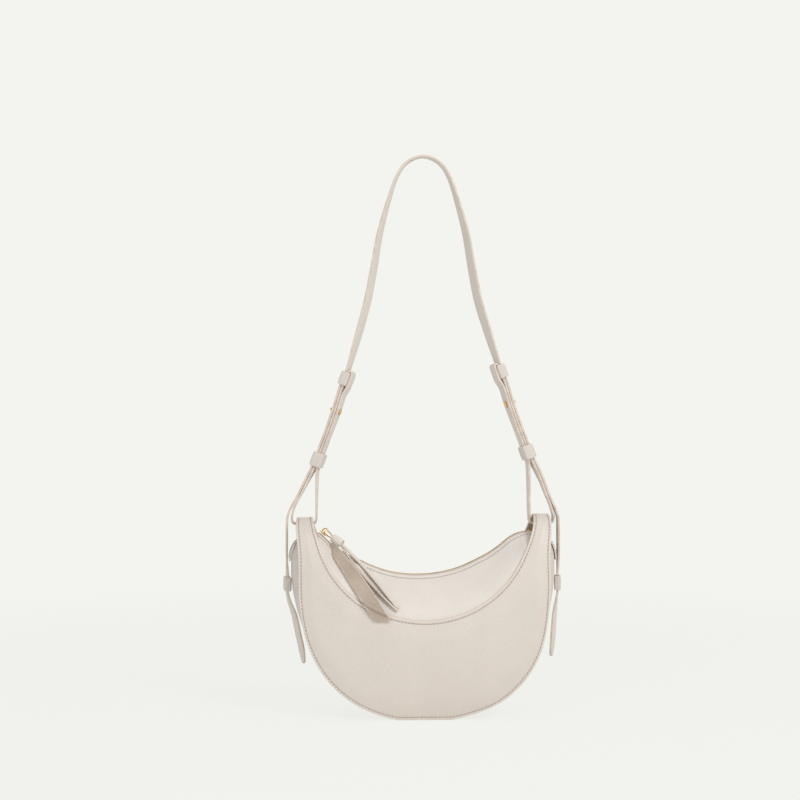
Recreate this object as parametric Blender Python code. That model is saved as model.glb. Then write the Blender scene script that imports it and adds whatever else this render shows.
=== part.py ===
"""Saddle handbag: a crescent shoulder bag with a long buttoned strap, in metres, +Z up.

The bag stands on its pressed flat base with the origin at the middle of that base. The front faces -Y
and the zip runs along X. Every leather piece is a surface grid that a Solidify modifier gives its
thickness, and every piece is placed by the same few driving dimensions.
"""
import bpy
import bmesh
import math
import numpy as np
from mathutils import Vector

MM = 0.001

# Front view of the saddle panel
RIM_HALF_WIDTH = 119.3 * MM      # half width of the panel at its widest
RIM_DROP = 140.0 * MM            # depth of the round bottom below its widest place
BASE_PRESS = 2.0 * MM            # so much of the round bottom is pressed flat
RIM_CENTRE = RIM_DROP - BASE_PRESS   # height of the widest place
ARM_WIDTH = 17.3 * MM            # across each arm
ARM_RISE = 54.0 * MM             # from the widest place to the crown
CROWN_HEIGHT = RIM_CENTRE + ARM_RISE
RIM_SIDE_POWER = 2.1             # roundness of the outline towards the sides
RIM_BASE_POWER = 2.6             # roundness of the outline towards the base
SCOOP_RADIUS = RIM_HALF_WIDTH - ARM_WIDTH   # concave upper edge of the panel
SCOOP_CENTRE = CROWN_HEIGHT + 3.7 * MM      # height of that edge's centre
ARM_FLARE = 3.5 * MM             # the arms lean outwards by this much at the crown
ARM_FLARE_START = CROWN_HEIGHT - 42.0 * MM
ARM_ROOT = CROWN_HEIGHT - 32.0 * MM   # above this the panel's rows lie straight across its arms

# Side view of the bag
BODY_HALF_DEPTH = 37.0 * MM
CROWN_POWER = 6.0                # a high power keeps the arms apart until they turn over
CROWN_SQUARENESS = 0.45
CROWN_SEAM = 0.5 * MM            # front and back panels end this far from the middle of the crown
CROWN_TURN = 0.87                # share of the crown's height above which the side profile turns over
BASE_TUCK = 2.5 * MM             # the body is this much thinner at the base
BASE_TUCK_HEIGHT = 60.0 * MM
PILLOW = 3.5 * MM                # padding swell in the middle of each face
PILLOW_CENTRE = 75.0 * MM
PILLOW_REACH = 95.0 * MM

# Leather, cloth and clearances
PANEL_THICKNESS = 2.4 * MM
YOKE_THICKNESS = 1.8 * MM
GUSSET_THICKNESS = 1.8 * MM
LINING_THICKNESS = 0.9 * MM
POCKET_THICKNESS = 0.8 * MM
POCKET_GAP = 1.4 * MM            # the pocket hangs this far off the lining
POCKET_HALF_WIDTH = 62.0 * MM
POCKET_LOW = 28.0 * MM
POCKET_HIGH = 84.0 * MM
GAP = 0.3 * MM                   # between pieces that touch
FACET_GAP = 0.2 * MM             # further clearance for the facets of curved neighbours
SOFT_GAP = 0.6 * MM              # between soft layers that lie on each other
LINING_GAP = 1.8 * MM            # the lining hangs this far off the yokes
YOKE_LAP = 10.0 * MM             # how far the yoke runs on behind the saddle panel

# Gusset
GUSSET_INSET = 1.0 * MM
GUSSET_LOW_SWELL = 1.0 * MM
GUSSET_RISE = 15.0 * MM          # its inset and low swell grow from nothing over this height
GUSSET_SIDE_SWELL = 7.7 * MM
SWELL_START = RIM_CENTRE - 73.0 * MM
SWELL_RISE = 75.0 * MM
HOOD_START = RIM_CENTRE + 10.0 * MM   # the gusset turns in over the ears from here

# Zip: one true circle over the slider's whole travel, flat beyond it
ZIP_RADIUS = 128.0 * MM
ZIP_CENTRE_X = -5.6 * MM
ZIP_CENTRE_Z = CROWN_HEIGHT + 69.7 * MM
ZIP_FLAT = CROWN_HEIGHT - 16.8 * MM   # height of the zip under the arms
ROOF_HALF = RIM_HALF_WIDTH - 3.3 * MM    # the yokes end at this x
ZIP_LEFT_END = 16.1 * MM - ROOF_HALF     # the circle ends here on the left
ZIP_RIGHT_END = ROOF_HALF - 37.0 * MM    # and here on the right
ZIP_EASED = ROOF_HALF - 10.0 * MM        # the zip has eased to its flat height here, on either side
EAR_START = ROOF_HALF - 4.0 * MM
EAR_END = ROOF_HALF + 12.0 * MM
EAR_DROP = 15.2 * MM
ROOF_COLUMNS = 37                # grid columns of the yokes and stiffeners
ZIP_SEAM = 6.2 * MM              # the yoke's edge lies this far from the middle
LEAN_POWER = 1.5
LEAN_LEAST = 14.0 * MM           # least height over which a yoke leans in
HOOD_END = ROOF_HALF - 2.0 * MM  # the hood's upper edge, tucked under the yokes
TAPE_INNER = 2.2 * MM
TAPE_OUTER = 5.1 * MM
TAPE_END = ROOF_HALF - 0.4 * MM
TAPE_THICKNESS = 0.8 * MM
TEETH_INNER = 0.6 * MM
TEETH_OUTER = 1.9 * MM
TEETH_THICKNESS = 1.4 * MM
STOP_START = ROOF_HALF - 14.4 * MM
TEETH_END = STOP_START - 2.0 * MM
STOP_LENGTH = 4.0 * MM
STOP_THICKNESS = 2.0 * MM
STOP_WIDTH = 3.8 * MM
TAB_START = ROOF_HALF + 1.8 * MM    # the leather ear over the zip's end begins here
TAB_WIDTH = 14.0 * MM
TAB_THICKNESS = 1.4 * MM

# Strap
STRAP_WIDTH = 12.0 * MM
STRAP_THICKNESS = 2.1 * MM
STACK_STEP = STRAP_THICKNESS + GAP   # from the middle of one strap layer to the next
STRAP_AXIS = CROWN_HEIGHT - 9.0 * MM     # the strap swings about this height, inside the crowns
SIDE_LIFT = 3.65 * MM            # the right loop hangs this much higher, the left this much lower
TOP_LEAN = -2.5 * MM             # the strap's top leans to the left by this
LOOP_INNER = SCOOP_RADIUS + 0.7 * MM     # middle of the loop's inner run at the crown
LOOP_OUTER = RIM_HALF_WIDTH + 7.0 * MM   # middle of its outer run
LOOP_CORNER = 3.2 * MM
LOOP_MEETS = STRAP_AXIS + 26.0 * MM      # its outer run joins the strap at this height
LOOP_JOINS = 17.0 * MM           # below the ring its two runs lie together again after this length
LOOP_TWIST = 8.0                 # degrees that its inner run still turns at the middle keeper
ROW_SPACE = 2.0 * MM             # least space between two rows of a loop
KEEPER_WALL = 1.8 * MM
KEEPER_INNER_CORNER = 0.3 * MM
KEEPER_OUTER_CORNER = 1.5 * MM
RING_LENGTH = 11.2 * MM
KEEPER_LENGTH = 11.6 * MM
SIDE_KEEPER_LENGTH = 13.3 * MM
SIDE_KEEPER_HEIGHT = STRAP_AXIS - 57.6 * MM
TAIL_POINT = 18.0 * MM           # length of a tail's pointed end
TAIL_TAPER = ((1.0, 1.0), (0.6, 0.93), (0.3, 0.72), (0.1, 0.42), (0.0, 0.16))    # along it, width
STRAP_END_TURNS = (84.0, 65.0, 45.0, 22.0)   # the strap's end is a half round about its axis
PATH_RIM = 119.3 * MM            # the paths below are drawn for this half width of the rim
# Heights over the swing axis, in mm
LIFT_RISE = (13.0, 47.0)         # over which the sides' lift comes in
LIFT_FALL = (153.0, 233.0)       # and goes again
LEAN_RISE = (167.0, 257.0)       # over which the top's lean comes in
WIDTH_FALL = (70.0, 354.0)       # over which a wider or narrower rim is taken up
STRAP_ROWS = 96
SHANK_RADIUS = 1.5 * MM
STUD_DISC = 4.2 * MM
STUD_DISC_THICKNESS = 1.2 * MM
STUD_DISC_BEVEL = 0.5 * MM
STUD_BALL = 2.3 * MM
STUD_BALL_TURNS = (-45.0, -15.0, 15.0, 50.0)
RING_Z = STRAP_AXIS + 143.2 * MM  # heights on the strap's own path, before the lift of either side
STUD_Z = STRAP_AXIS + 113.0 * MM
KEEPER_Z = STRAP_AXIS + 65.9 * MM

# Half of the strap's path from the crown to its top: distance from the middle and height over the
# swing axis in mm, twist in degrees
STRAP_PATH = (
    (131.0, 0.0, 0), (130.6, 6.0, 0), (127.9, 14.0, 0), (122.0, 26.0, 1.5), (116.1, 39.0, 5),
    (110.2, 50.8, 9), (105.6, 59.4, 12), (103.2, 65.9, 12), (98.9, 77.4, 12), (94.6, 88.9, 12),
    (92.3, 95.0, 12.4), (87.4, 108.2, 16), (85.6, 113.0, 16.5), (80.2, 130.9, 18), (77.9, 137.05, 18),
    (75.6, 143.2, 18), (73.3, 149.35, 18), (71.0, 155.5, 19), (62.0, 185.0, 30), (53.5, 215.0, 32),
    (47.7, 244.5, 30), (41.5, 280.0, 24),
    (32.3, 314.0, 14), (24.5, 336.0, 8), (14.7, 348.6, 3), (0.0, 354.0, 0))
# The free ends below the crowns
TAIL_HEAD = (
    (131.0, -6.5, 0), (131.2, -23.0, 0), (131.0, -38.0, 3), (130.6, -49.0, 8), (130.6, -57.6, 8),
    (130.6, -66.0, 8))
LEFT_TAIL_PATH = TAIL_HEAD + (
    (128.6, -75.0, 13), (123.9, -88.0, 22), (119.8, -107.3, 24), (117.6, -117.0, 24), (114.7, -134.3, 24))
RIGHT_TAIL_PATH = TAIL_HEAD + (
    (129.4, -75.0, 13), (127.7, -88.0, 22), (126.3, -107.3, 24), (125.8, -115.0, 24), (124.3, -129.0, 24))
# The loop's inner run between the middle keeper and the crown
INNER_RUN = ((101.7, 53.5), (102.1, 46.0), (102.3, 36.0), (102.4, 25.0), (102.6, 13.0), (102.7, 4.5))
# The loop's outer run between the crown and the strap
OUTER_RUN = ((126.1, 9.0), (123.7, 16.5))

# Zip slider and pull
SLIDER_X = ZIP_LEFT_END + 2.4 * MM    # where the slider is parked
SLIDER_LENGTH = 6.6 * MM
SLIDER_WIDTH = 8.4 * MM
PLATE_INNER = 1.1 * MM           # from the zip line to a plate's near face
PLATE_THICKNESS = 0.8 * MM
POST_THICKNESS = 0.6 * MM
BAIL_BAR = 1.1 * MM
BAIL_SPAN = 5.6 * MM
BAIL_AXIS = 4.5 * MM             # from the zip line to the middle of the bail's bar
WIRE_RADIUS = 0.6 * MM
LINK_RADIUS = 1.75 * MM          # the link's ends turn at this radius round the bar and the wrap's bridge
LINK_REACH = 8.0 * MM            # between the centres of its two ends
LINK_AIM = (0.72, -0.35, -0.60)  # direction of the parked link from the bail
WRAP_AIM = (0.666, -0.466, -0.588)
WRAP_RADIUS = 4.4 * MM
WRAP_LENGTH = 13.0 * MM
WRAP_START = 1.0 * MM            # the wrap begins this far past the middle of the link's end
WRAP_BEVEL = 0.8 * MM
BRIDGE_RADIUS = 0.8 * MM
BRIDGE_SEAT = 1.0 * MM           # the bridge runs this far into the wrap on either side of the link
TONGUE_THICKNESS = 1.5 * MM
TONGUE_ROWS = 9
FACE_REACH = 3.0 * MM            # the bag's face is felt this far round a place of the pull
# The pull's strips as share of the length: clearance from the bag's face and half width, in mm
WIDE_SHAPE = ((0.0, 0.0, 2.6), (0.25, 3.2, 5.6), (0.5, 3.2, 6.2), (0.75, 3.2, 6.4), (1.0, 3.0, 6.2))
NARROW_SHAPE = ((0.0, 0.0, 2.2), (0.25, 7.0, 4.2), (0.5, 7.0, 5.4), (0.75, 7.0, 5.4), (1.0, 7.0, 3.0))
WIDE_TIP = (SLIDER_X + 55.2 * MM, CROWN_HEIGHT - 98.5 * MM)
UPPER_TIP = (SLIDER_X + 75.0 * MM, CROWN_HEIGHT - 82.5 * MM)
LOWER_TIP = (SLIDER_X + 70.0 * MM, CROWN_HEIGHT - 87.5 * MM)
# Where the strips leave the wrap's end, in steps of a strip's thickness and its clearances
WIDE_PLACE = -1.7
LOWER_PLACE = 0.45
UPPER_PLACE = 2.1

CREAM = (0.72, 0.65, 0.58)
CREAM_LIGHT = (0.80, 0.74, 0.67)
TAN = (0.46, 0.37, 0.29)
CLOTH = (0.62, 0.55, 0.46)
GOLD = (0.83, 0.58, 0.30)
MIRROR_X = np.array([-1.0, 1.0, 1.0])
MIRROR_Y = np.array([1.0, -1.0, 1.0])


def clear_scene():
    for item in list(bpy.data.objects):
        bpy.data.objects.remove(item, do_unlink=True)


def smooth_step(value):
    """0 below 0, 1 above 1, and an even S between them."""
    t = np.clip(value, 0.0, 1.0)
    return t * t * (3.0 - 2.0 * t)


def leather(name, colour, roughness=0.55, metallic=0.0):
    material = bpy.data.materials.new(name)
    material.use_nodes = True
    shader = material.node_tree.nodes["Principled BSDF"]
    shader.inputs["Base Color"].default_value = (*colour, 1.0)
    shader.inputs["Roughness"].default_value = roughness
    shader.inputs["Metallic"].default_value = metallic
    return material


def place(name, mesh, colour, roughness=0.55, metallic=0.0, origin=None):
    """Link a mesh as one named piece with its own material, its origin moved to a joint's place."""
    if origin is not None:
        for vertex in mesh.vertices:
            vertex.co -= Vector(origin)
    mesh.materials.append(leather(name + "_finish", colour, roughness, metallic))
    item = bpy.data.objects.new(name, mesh)
    bpy.context.scene.collection.objects.link(item)
    if origin is not None:
        item.location = origin
    mesh.shade_smooth()
    mesh.set_sharp_from_angle(angle=math.radians(35.0))
    return item


def grid_mesh(name, points, wrap=False):
    """A quad surface through points[u][v]; wrap closes it along u."""
    points = np.asarray(points, dtype=float)
    count_u, count_v = points.shape[:2]
    faces = []
    for u in range(count_u if wrap else count_u - 1):
        after = (u + 1) % count_u
        for v in range(count_v - 1):
            faces.append((u * count_v + v, after * count_v + v,
                          after * count_v + v + 1, u * count_v + v + 1))
    mesh = bpy.data.meshes.new(name)
    mesh.from_pydata([tuple(p) for p in points.reshape(-1, 3)], [], faces)
    return mesh


def sheet(name, points, thickness, colour, flip, wrap=False, offset=-1.0, **finish):
    """A sheet of one thickness on a grid of points; flip turns its faces round."""
    points = np.asarray(points, dtype=float)
    if flip:
        points = points[:, ::-1]
    item = place(name, grid_mesh(name, points, wrap), colour, **finish)
    solid = item.modifiers.new("Thickness", "SOLIDIFY")
    solid.thickness = thickness
    solid.offset = offset
    solid.use_even_offset = True
    solid.use_quality_normals = True
    return item


def offset_grid(points, distance):
    """The same grid moved along its own normals, which are differences of its neighbours."""
    points = np.asarray(points, dtype=float)
    along_u = np.gradient(points, axis=0)
    along_v = np.gradient(points, axis=1)
    normal = np.cross(along_u, along_v)
    normal /= np.linalg.norm(normal, axis=2, keepdims=True)
    return points + distance * normal


def smooth_curve(points, count):
    """Catmull-Rom curve through the points, resampled to even steps of length."""
    points = np.asarray(points, dtype=float)
    padded = np.vstack([2 * points[0] - points[1], points, 2 * points[-1] - points[-2]])
    dense = []
    for i in range(1, len(padded) - 2):
        before, start, end, after = padded[i - 1:i + 3]
        for t in np.linspace(0.0, 1.0, 24, endpoint=False):
            dense.append(0.5 * (2 * start + (end - before) * t
                                + (2 * before - 5 * start + 4 * end - after) * t ** 2
                                + (3 * start - before - 3 * end + after) * t ** 3))
    dense.append(points[-1])
    dense = np.array(dense)
    length = np.concatenate([[0.0], np.cumsum(np.linalg.norm(np.diff(dense[:, :2], axis=0), axis=1))])
    steps = np.linspace(0.0, length[-1], count)
    return np.column_stack([np.interp(steps, length, dense[:, k]) for k in range(dense.shape[1])])


# Shape of the body


def half_depth(z):
    """Half of the body's depth at a height, a superellipse that closes at the crown."""
    z = np.asarray(z, dtype=float)
    top = np.clip(1.0 - (np.clip(z, 0.0, CROWN_HEIGHT) / CROWN_HEIGHT) ** CROWN_POWER, 0.0, 1.0)
    tuck = BASE_TUCK * np.clip(1.0 - z / BASE_TUCK_HEIGHT, 0.0, 1.0) ** 2
    return BODY_HALF_DEPTH * top ** CROWN_SQUARENESS - tuck


def depth_within(z, distance):
    """Half of the depth at a height, less a distance measured square to the side profile."""
    step = 0.5 * MM
    slope = (half_depth(z + step) - half_depth(z - step)) / (2.0 * step)
    return half_depth(z) - distance * np.sqrt(1.0 + slope ** 2)


def side_profile():
    """Height and half depth along the body's side profile, with the length run from the base."""
    low = np.linspace(0.0, CROWN_TURN * CROWN_HEIGHT, 300)
    angle = np.linspace(math.asin(CROWN_TURN ** (CROWN_POWER / 2.0)), math.pi / 2.0, 300)[1:]
    z = np.concatenate([low, CROWN_HEIGHT * np.sin(angle) ** (2.0 / CROWN_POWER)])
    high = BODY_HALF_DEPTH * np.cos(angle) ** (2.0 * CROWN_SQUARENESS)
    depth = np.concatenate([half_depth(low), high])
    run = np.concatenate([[0.0], np.cumsum(np.hypot(np.diff(z), np.diff(depth)))])
    keep = depth >= CROWN_SEAM
    return run[keep], z[keep], depth[keep]


RUN, RUN_HEIGHT, RUN_DEPTH = side_profile()


def pillow(x, z):
    """Swell of a padded face, greatest in its middle and none at its rim."""
    across = np.clip(1.0 - (x / RIM_HALF_WIDTH) ** 2, 0.0, 1.0)
    upright = np.clip(1.0 - ((z - PILLOW_CENTRE) / PILLOW_REACH) ** 2, 0.0, 1.0)
    return PILLOW * across * upright


def flare(z):
    return ARM_FLARE * smooth_step((z - ARM_FLARE_START) / (CROWN_HEIGHT - ARM_FLARE_START))


def rim_curve(inset=0.0):
    """Right half of the panel's outline as (x, z): flat base, superellipse, then straight up."""
    half, drop = RIM_HALF_WIDTH - inset, RIM_DROP - inset
    first = math.asin(min(1.0, (RIM_CENTRE - inset) / drop) ** (RIM_BASE_POWER / 2.0))
    angle = np.linspace(first, 0.0, 200)
    x = half * np.cos(angle) ** (2.0 / RIM_SIDE_POWER)
    z = RIM_CENTRE - drop * np.sin(angle) ** (2.0 / RIM_BASE_POWER)
    side = np.linspace(RIM_CENTRE, RUN_HEIGHT[-1], 60)[1:]
    x = np.concatenate([[0.0], x, half + flare(side)])
    z = np.concatenate([[inset], z, side])
    return x, z


def rim_height(x, inset):
    """Lower outline of a layer whose edge lies inside the rim by inset."""
    share = np.clip(np.abs(x) / (RIM_HALF_WIDTH - inset), 0.0, 1.0)
    drop = (1.0 - share ** RIM_SIDE_POWER) ** (1.0 / RIM_BASE_POWER)
    return np.maximum(inset, RIM_CENTRE - (RIM_DROP - inset) * drop)


def scoop_half_width(z):
    return np.sqrt(np.clip(SCOOP_RADIUS ** 2 - (SCOOP_CENTRE - z) ** 2, 0.0, None)) + flare(z)


def resample(x, z, share):
    """Points at given shares of a polyline's length."""
    run = np.concatenate([[0.0], np.cumsum(np.hypot(np.diff(x), np.diff(z)))])
    return np.interp(share * run[-1], run, x), np.interp(share * run[-1], run, z)


def panel_grid(low_steps=22, arm_steps=9, columns=5):
    """Front panel from the left crown round the base to the right crown, rows from scoop to rim."""
    share = np.linspace(0.0, 1.0, low_steps)
    rim_x, rim_z = rim_curve()
    below = rim_z <= ARM_ROOT
    outer_x, outer_z = resample(rim_x[below], rim_z[below], share)
    scoop_z = SCOOP_CENTRE - SCOOP_RADIUS * np.cos(np.linspace(0.0, math.pi / 2.0, 200))
    scoop_z = scoop_z[scoop_z <= ARM_ROOT]
    inner_x, inner_z = resample(scoop_half_width(scoop_z), scoop_z, share)
    run_start = np.interp(ARM_ROOT, RUN_HEIGHT, RUN)
    arm_run = np.linspace(run_start, RUN[-1], arm_steps + 1)[1:]
    arm_z = np.interp(arm_run, RUN, RUN_HEIGHT)
    arm_outer = RIM_HALF_WIDTH + flare(arm_z)
    outer_run = np.concatenate([np.interp(outer_z, RUN_HEIGHT, RUN), arm_run])
    inner_run = np.concatenate([np.interp(inner_z, RUN_HEIGHT, RUN), arm_run])
    outer_x = np.concatenate([outer_x, arm_outer])
    inner_x = np.concatenate([inner_x, scoop_half_width(arm_z)])
    t = np.linspace(0.0, 1.0, columns)
    x = inner_x[:, None] * (1.0 - t) + outer_x[:, None] * t
    run = inner_run[:, None] * (1.0 - t) + outer_run[:, None] * t
    z = np.interp(run, RUN, RUN_HEIGHT)
    y = -(np.interp(run, RUN, RUN_DEPTH) + pillow(x, z))
    right = np.stack([x, y, z], axis=2)
    return np.concatenate([right[:0:-1] * MIRROR_X, right])


def zip_circle(x):
    return ZIP_CENTRE_Z - np.sqrt(np.clip(ZIP_RADIUS ** 2 - (x - ZIP_CENTRE_X) ** 2, 0.0, None))


def zip_line(x):
    """Height of the zip: the slider's circle, eased to the flat runs under the arms and the ears."""
    x = np.asarray(x, dtype=float)
    z = zip_circle(np.clip(x, ZIP_LEFT_END, ZIP_RIGHT_END))
    for end, outward in ((ZIP_LEFT_END, -1.0), (ZIP_RIGHT_END, 1.0)):
        start = float(zip_circle(end))
        slope = abs(end - ZIP_CENTRE_X) / (ZIP_CENTRE_Z - start)
        reach = ZIP_EASED - end * outward
        t = np.clip((x - end) * outward / reach, 0.0, 1.0)
        eased = start + slope * reach * t * (1.0 - t) ** 2 + (ZIP_FLAT - start) * smooth_step(t)
        z = np.where(t > 0.0, np.minimum(eased, ZIP_FLAT), z)
    share = np.clip((np.abs(x) - EAR_START) / (EAR_END - EAR_START), 0.0, 1.0)
    return z - EAR_DROP * (0.5 - 0.5 * np.cos(math.pi * share))


def bend_height(x):
    """Where the second skin leaves the saddle panel and starts to lean in to the zip."""
    scoop = SCOOP_CENTRE - np.sqrt(np.clip(SCOOP_RADIUS ** 2 - np.asarray(x) ** 2, 0.0, None))
    return np.minimum(scoop, zip_line(x) - LEAN_LEAST)


def skin_depth(x, z):
    return depth_within(z, PANEL_THICKNESS + GAP + FACET_GAP) + pillow(x, z)


def skin_column(x, low, bend, top, low_rows, lean_rows):
    """Points (y, z) up one column of the second skin, from low to its bend and in to the zip."""
    upright = np.linspace(low, bend, low_rows)
    depth = list(skin_depth(x, upright))
    t = np.linspace(0.0, 1.0, lean_rows + 1)[1:]
    lean = ZIP_SEAM + (depth[-1] - ZIP_SEAM) * (1.0 - t ** LEAN_POWER)
    return np.concatenate([depth, lean]), np.concatenate([upright, bend + (top - bend) * t])


def roof_stations(half, count):
    """Places along X that lie closer together towards the ends."""
    t = np.linspace(-1.0, 1.0, count)
    even = 0.55
    return half * (even * t + (1.0 - even) * np.sin(t * math.pi / 2.0))


def skin_grid(half, low_of, count, low_rows, lean_rows):
    columns = []
    for x in roof_stations(half, count):
        bend, top = float(bend_height(x)), float(zip_line(x))
        depth, z = skin_column(x, low_of(x, bend), bend, top, low_rows, lean_rows)
        columns.append(np.stack([np.full_like(z, x), -depth, z], axis=1))
    return np.array(columns)


def roof_inside(x, distance, share):
    """Places (y, z) at a distance inside the leaning yoke, from its bend at share 1 to the middle at 0."""
    bend, top = float(bend_height(x)), float(zip_line(x))
    depth, z = skin_column(x, bend, bend, top, 1, 24)
    depth, z = np.append(depth, 0.0), np.append(z, top)
    slope_y, slope_z = np.gradient(depth), np.gradient(z)
    length = np.hypot(slope_y, slope_z)
    inner_y = np.maximum(depth - distance * slope_z / length, 0.0)
    inner_z = z + distance * slope_y / length
    return resample(inner_y, inner_z, 1.0 - share)


def gusset_swell(z):
    low = GUSSET_LOW_SWELL * smooth_step(z / GUSSET_RISE)
    return low + GUSSET_SIDE_SWELL * smooth_step((z - SWELL_START) / SWELL_RISE)


def gusset_grid(columns=5, low_steps=22, hood_steps=6, inward=0.0, side_gap=0.0, hood=True):
    """Gusset from the left ear round the base to the right ear; columns run from front to back."""
    rim_x, rim_z = rim_curve()
    below = rim_z <= HOOD_START
    x, z = resample(rim_x[below], rim_z[below], np.linspace(0.0, 1.0, low_steps))
    tangent = np.stack([np.gradient(x), np.gradient(z)], axis=1)
    tangent /= np.linalg.norm(tangent, axis=1, keepdims=True)
    tangent[0] = (1.0, 0.0)
    normal = np.stack([tangent[:, 1], -tangent[:, 0]], axis=1)
    inset = GUSSET_INSET * smooth_step(z / GUSSET_RISE)
    share = np.linspace(-1.0, 1.0, columns)
    out = (gusset_swell(z)[:, None] * (1.0 - share ** 2)) - inset[:, None] - inward
    wall_x = x[:, None] + normal[:, :1] * out
    wall_z = z[:, None] + normal[:, 1:] * out
    keep_off = PANEL_THICKNESS + GAP + FACET_GAP + side_gap
    wall_y = share * depth_within(wall_z, keep_off)
    rows = [np.stack([wall_x, wall_y, wall_z], axis=2)]
    if hood:
        angle = np.linspace(0.0, math.pi / 2.0, hood_steps + 1)[1:, None]
        side_x, side_z = wall_x[-1], wall_z[-1]
        under = YOKE_THICKNESS + GAP + FACET_GAP
        tuck_rate = 5.0 / math.pi
        tuck = under * smooth_step(angle * tuck_rate)
        end_y, end_z = roof_inside(ROOF_HALF, under, np.abs(share))
        end_y = end_y * np.sign(share)
        hood_x = side_x - (side_x - HOOD_END) * (1.0 - np.cos(angle))
        hood_z = side_z + (end_z - side_z) * np.sin(angle)
        wide_y = share * depth_within(hood_z, keep_off + tuck)
        hood_y = wide_y + (end_y - wide_y) * smooth_step(np.sin(angle))
        rows.append(np.stack([hood_x, hood_y, hood_z], axis=2))
    right = np.concatenate(rows)
    return np.concatenate([right[:0:-1] * MIRROR_X, right])


def make_body():
    panel = panel_grid()
    sheet("front_panel", panel, PANEL_THICKNESS, CREAM, flip=True)
    sheet("back_panel", panel * MIRROR_Y, PANEL_THICKNESS, CREAM, flip=False)

    yoke = skin_grid(ROOF_HALF, lambda x, bend: bend - YOKE_LAP, ROOF_COLUMNS, 2, 6)
    sheet("front_yoke", yoke, YOKE_THICKNESS, CREAM_LIGHT, flip=False)
    sheet("back_yoke", yoke * MIRROR_Y, YOKE_THICKNESS, CREAM_LIGHT, flip=True)

    inset = GUSSET_INSET + GUSSET_THICKNESS + GAP
    stiffener = []
    for x in roof_stations(ROOF_HALF, ROOF_COLUMNS):
        z = np.linspace(float(rim_height(x, inset)), float(bend_height(x)) - YOKE_LAP - GAP, 4)
        stiffener.append(np.stack([np.full_like(z, x), -skin_depth(x, z), z], axis=1))
    stiffener = np.array(stiffener)
    sheet("front_stiffener", stiffener, YOKE_THICKNESS, TAN, flip=False)
    sheet("back_stiffener", stiffener * MIRROR_Y, YOKE_THICKNESS, TAN, flip=True)

    sheet("gusset", gusset_grid(), GUSSET_THICKNESS, CREAM, flip=True)
    lining_gap = GUSSET_THICKNESS + SOFT_GAP
    side_gap = YOKE_THICKNESS + LINING_GAP
    inner = gusset_grid(5, 14, 0, lining_gap, side_gap + LINING_THICKNESS + GAP, False)
    sheet("lining_gusset", inner, LINING_THICKNESS, CLOTH, flip=True)

    lining_inset = inset + LINING_THICKNESS + SOFT_GAP
    lining_half = HOOD_END - SOFT_GAP
    lining = skin_grid(lining_half, lambda x, bend: float(rim_height(x, lining_inset)), 23, 3, 4)
    lining = offset_grid(lining, -side_gap)[:, :-1]
    sheet("lining_front", lining, LINING_THICKNESS, CLOTH, flip=False)
    sheet("lining_back", lining * MIRROR_Y, LINING_THICKNESS, CLOTH, flip=True)

    pocket_x = np.linspace(-POCKET_HALF_WIDTH, POCKET_HALF_WIDTH, 9)
    pocket_z = np.linspace(POCKET_LOW, POCKET_HIGH, 4)
    x, z = np.meshgrid(pocket_x, pocket_z, indexing="ij")
    y = skin_depth(x, z) - side_gap - LINING_THICKNESS - POCKET_GAP
    sheet("inner_pocket", np.stack([x, y, z], axis=2), POCKET_THICKNESS, CLOTH, flip=True)


# Zip


def zip_strip(inner, outer, end, count):
    """Grid of a flat strip that follows the zip line at one side of the middle."""
    x = roof_stations(end, count)
    for corner in (ZIP_LEFT_END, ZIP_RIGHT_END):
        if abs(corner) < end:
            x[np.argmin(np.abs(x - corner))] = corner
    z = zip_line(x)
    y = np.array([-outer, -inner])
    return np.stack([np.repeat(x[:, None], 2, 1), np.repeat(y[None], len(x), 0),
                     np.repeat(z[:, None], 2, 1)], axis=2)


def box_mesh(name, centre, half, axes):
    """A box about a centre; half sizes run along the three given axes."""
    centre = np.array(centre)
    axes = np.array(axes)
    corners = [(a, b, c) for a in (-1, 1) for b in (-1, 1) for c in (-1, 1)]
    points = [centre + sum(s * h * v for s, h, v in zip(corner, half, axes)) for corner in corners]
    faces = [(0, 1, 3, 2), (4, 6, 7, 5), (0, 4, 5, 1), (2, 3, 7, 6), (0, 2, 6, 4), (1, 5, 7, 3)]
    mesh = bpy.data.meshes.new(name)
    mesh.from_pydata([tuple(p) for p in points], [], faces)
    return mesh


def tab_grid(side, count=9):
    """Leather ear that follows the hood's middle and laps over the end of the zip."""
    hood = gusset_grid(columns=3)
    hood = hood[hood[:, 1, 0] > 0.0][:, 1]
    hood = hood[hood[:, 2] >= HOOD_START - 1.0 * MM]
    run_x, run_z = np.gradient(hood[:, 0]), np.gradient(hood[:, 2])
    length = np.hypot(run_x, run_z)
    lift = GAP + FACET_GAP + TAB_THICKNESS
    x = hood[:, 0] + lift * np.abs(run_z) / length
    z = hood[:, 2] + lift * np.abs(run_x) / length
    clear = x >= TAB_START
    station_x, station_z = resample(x[clear][::-1], z[clear][::-1], np.linspace(0.0, 1.0, count))
    y = np.linspace(-TAB_WIDTH / 2.0, TAB_WIDTH / 2.0, 3)
    return np.stack([side * np.repeat(station_x[:, None], 3, 1), np.repeat(y[None], count, 0),
                     np.repeat(station_z[:, None], 3, 1)], axis=2)


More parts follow.
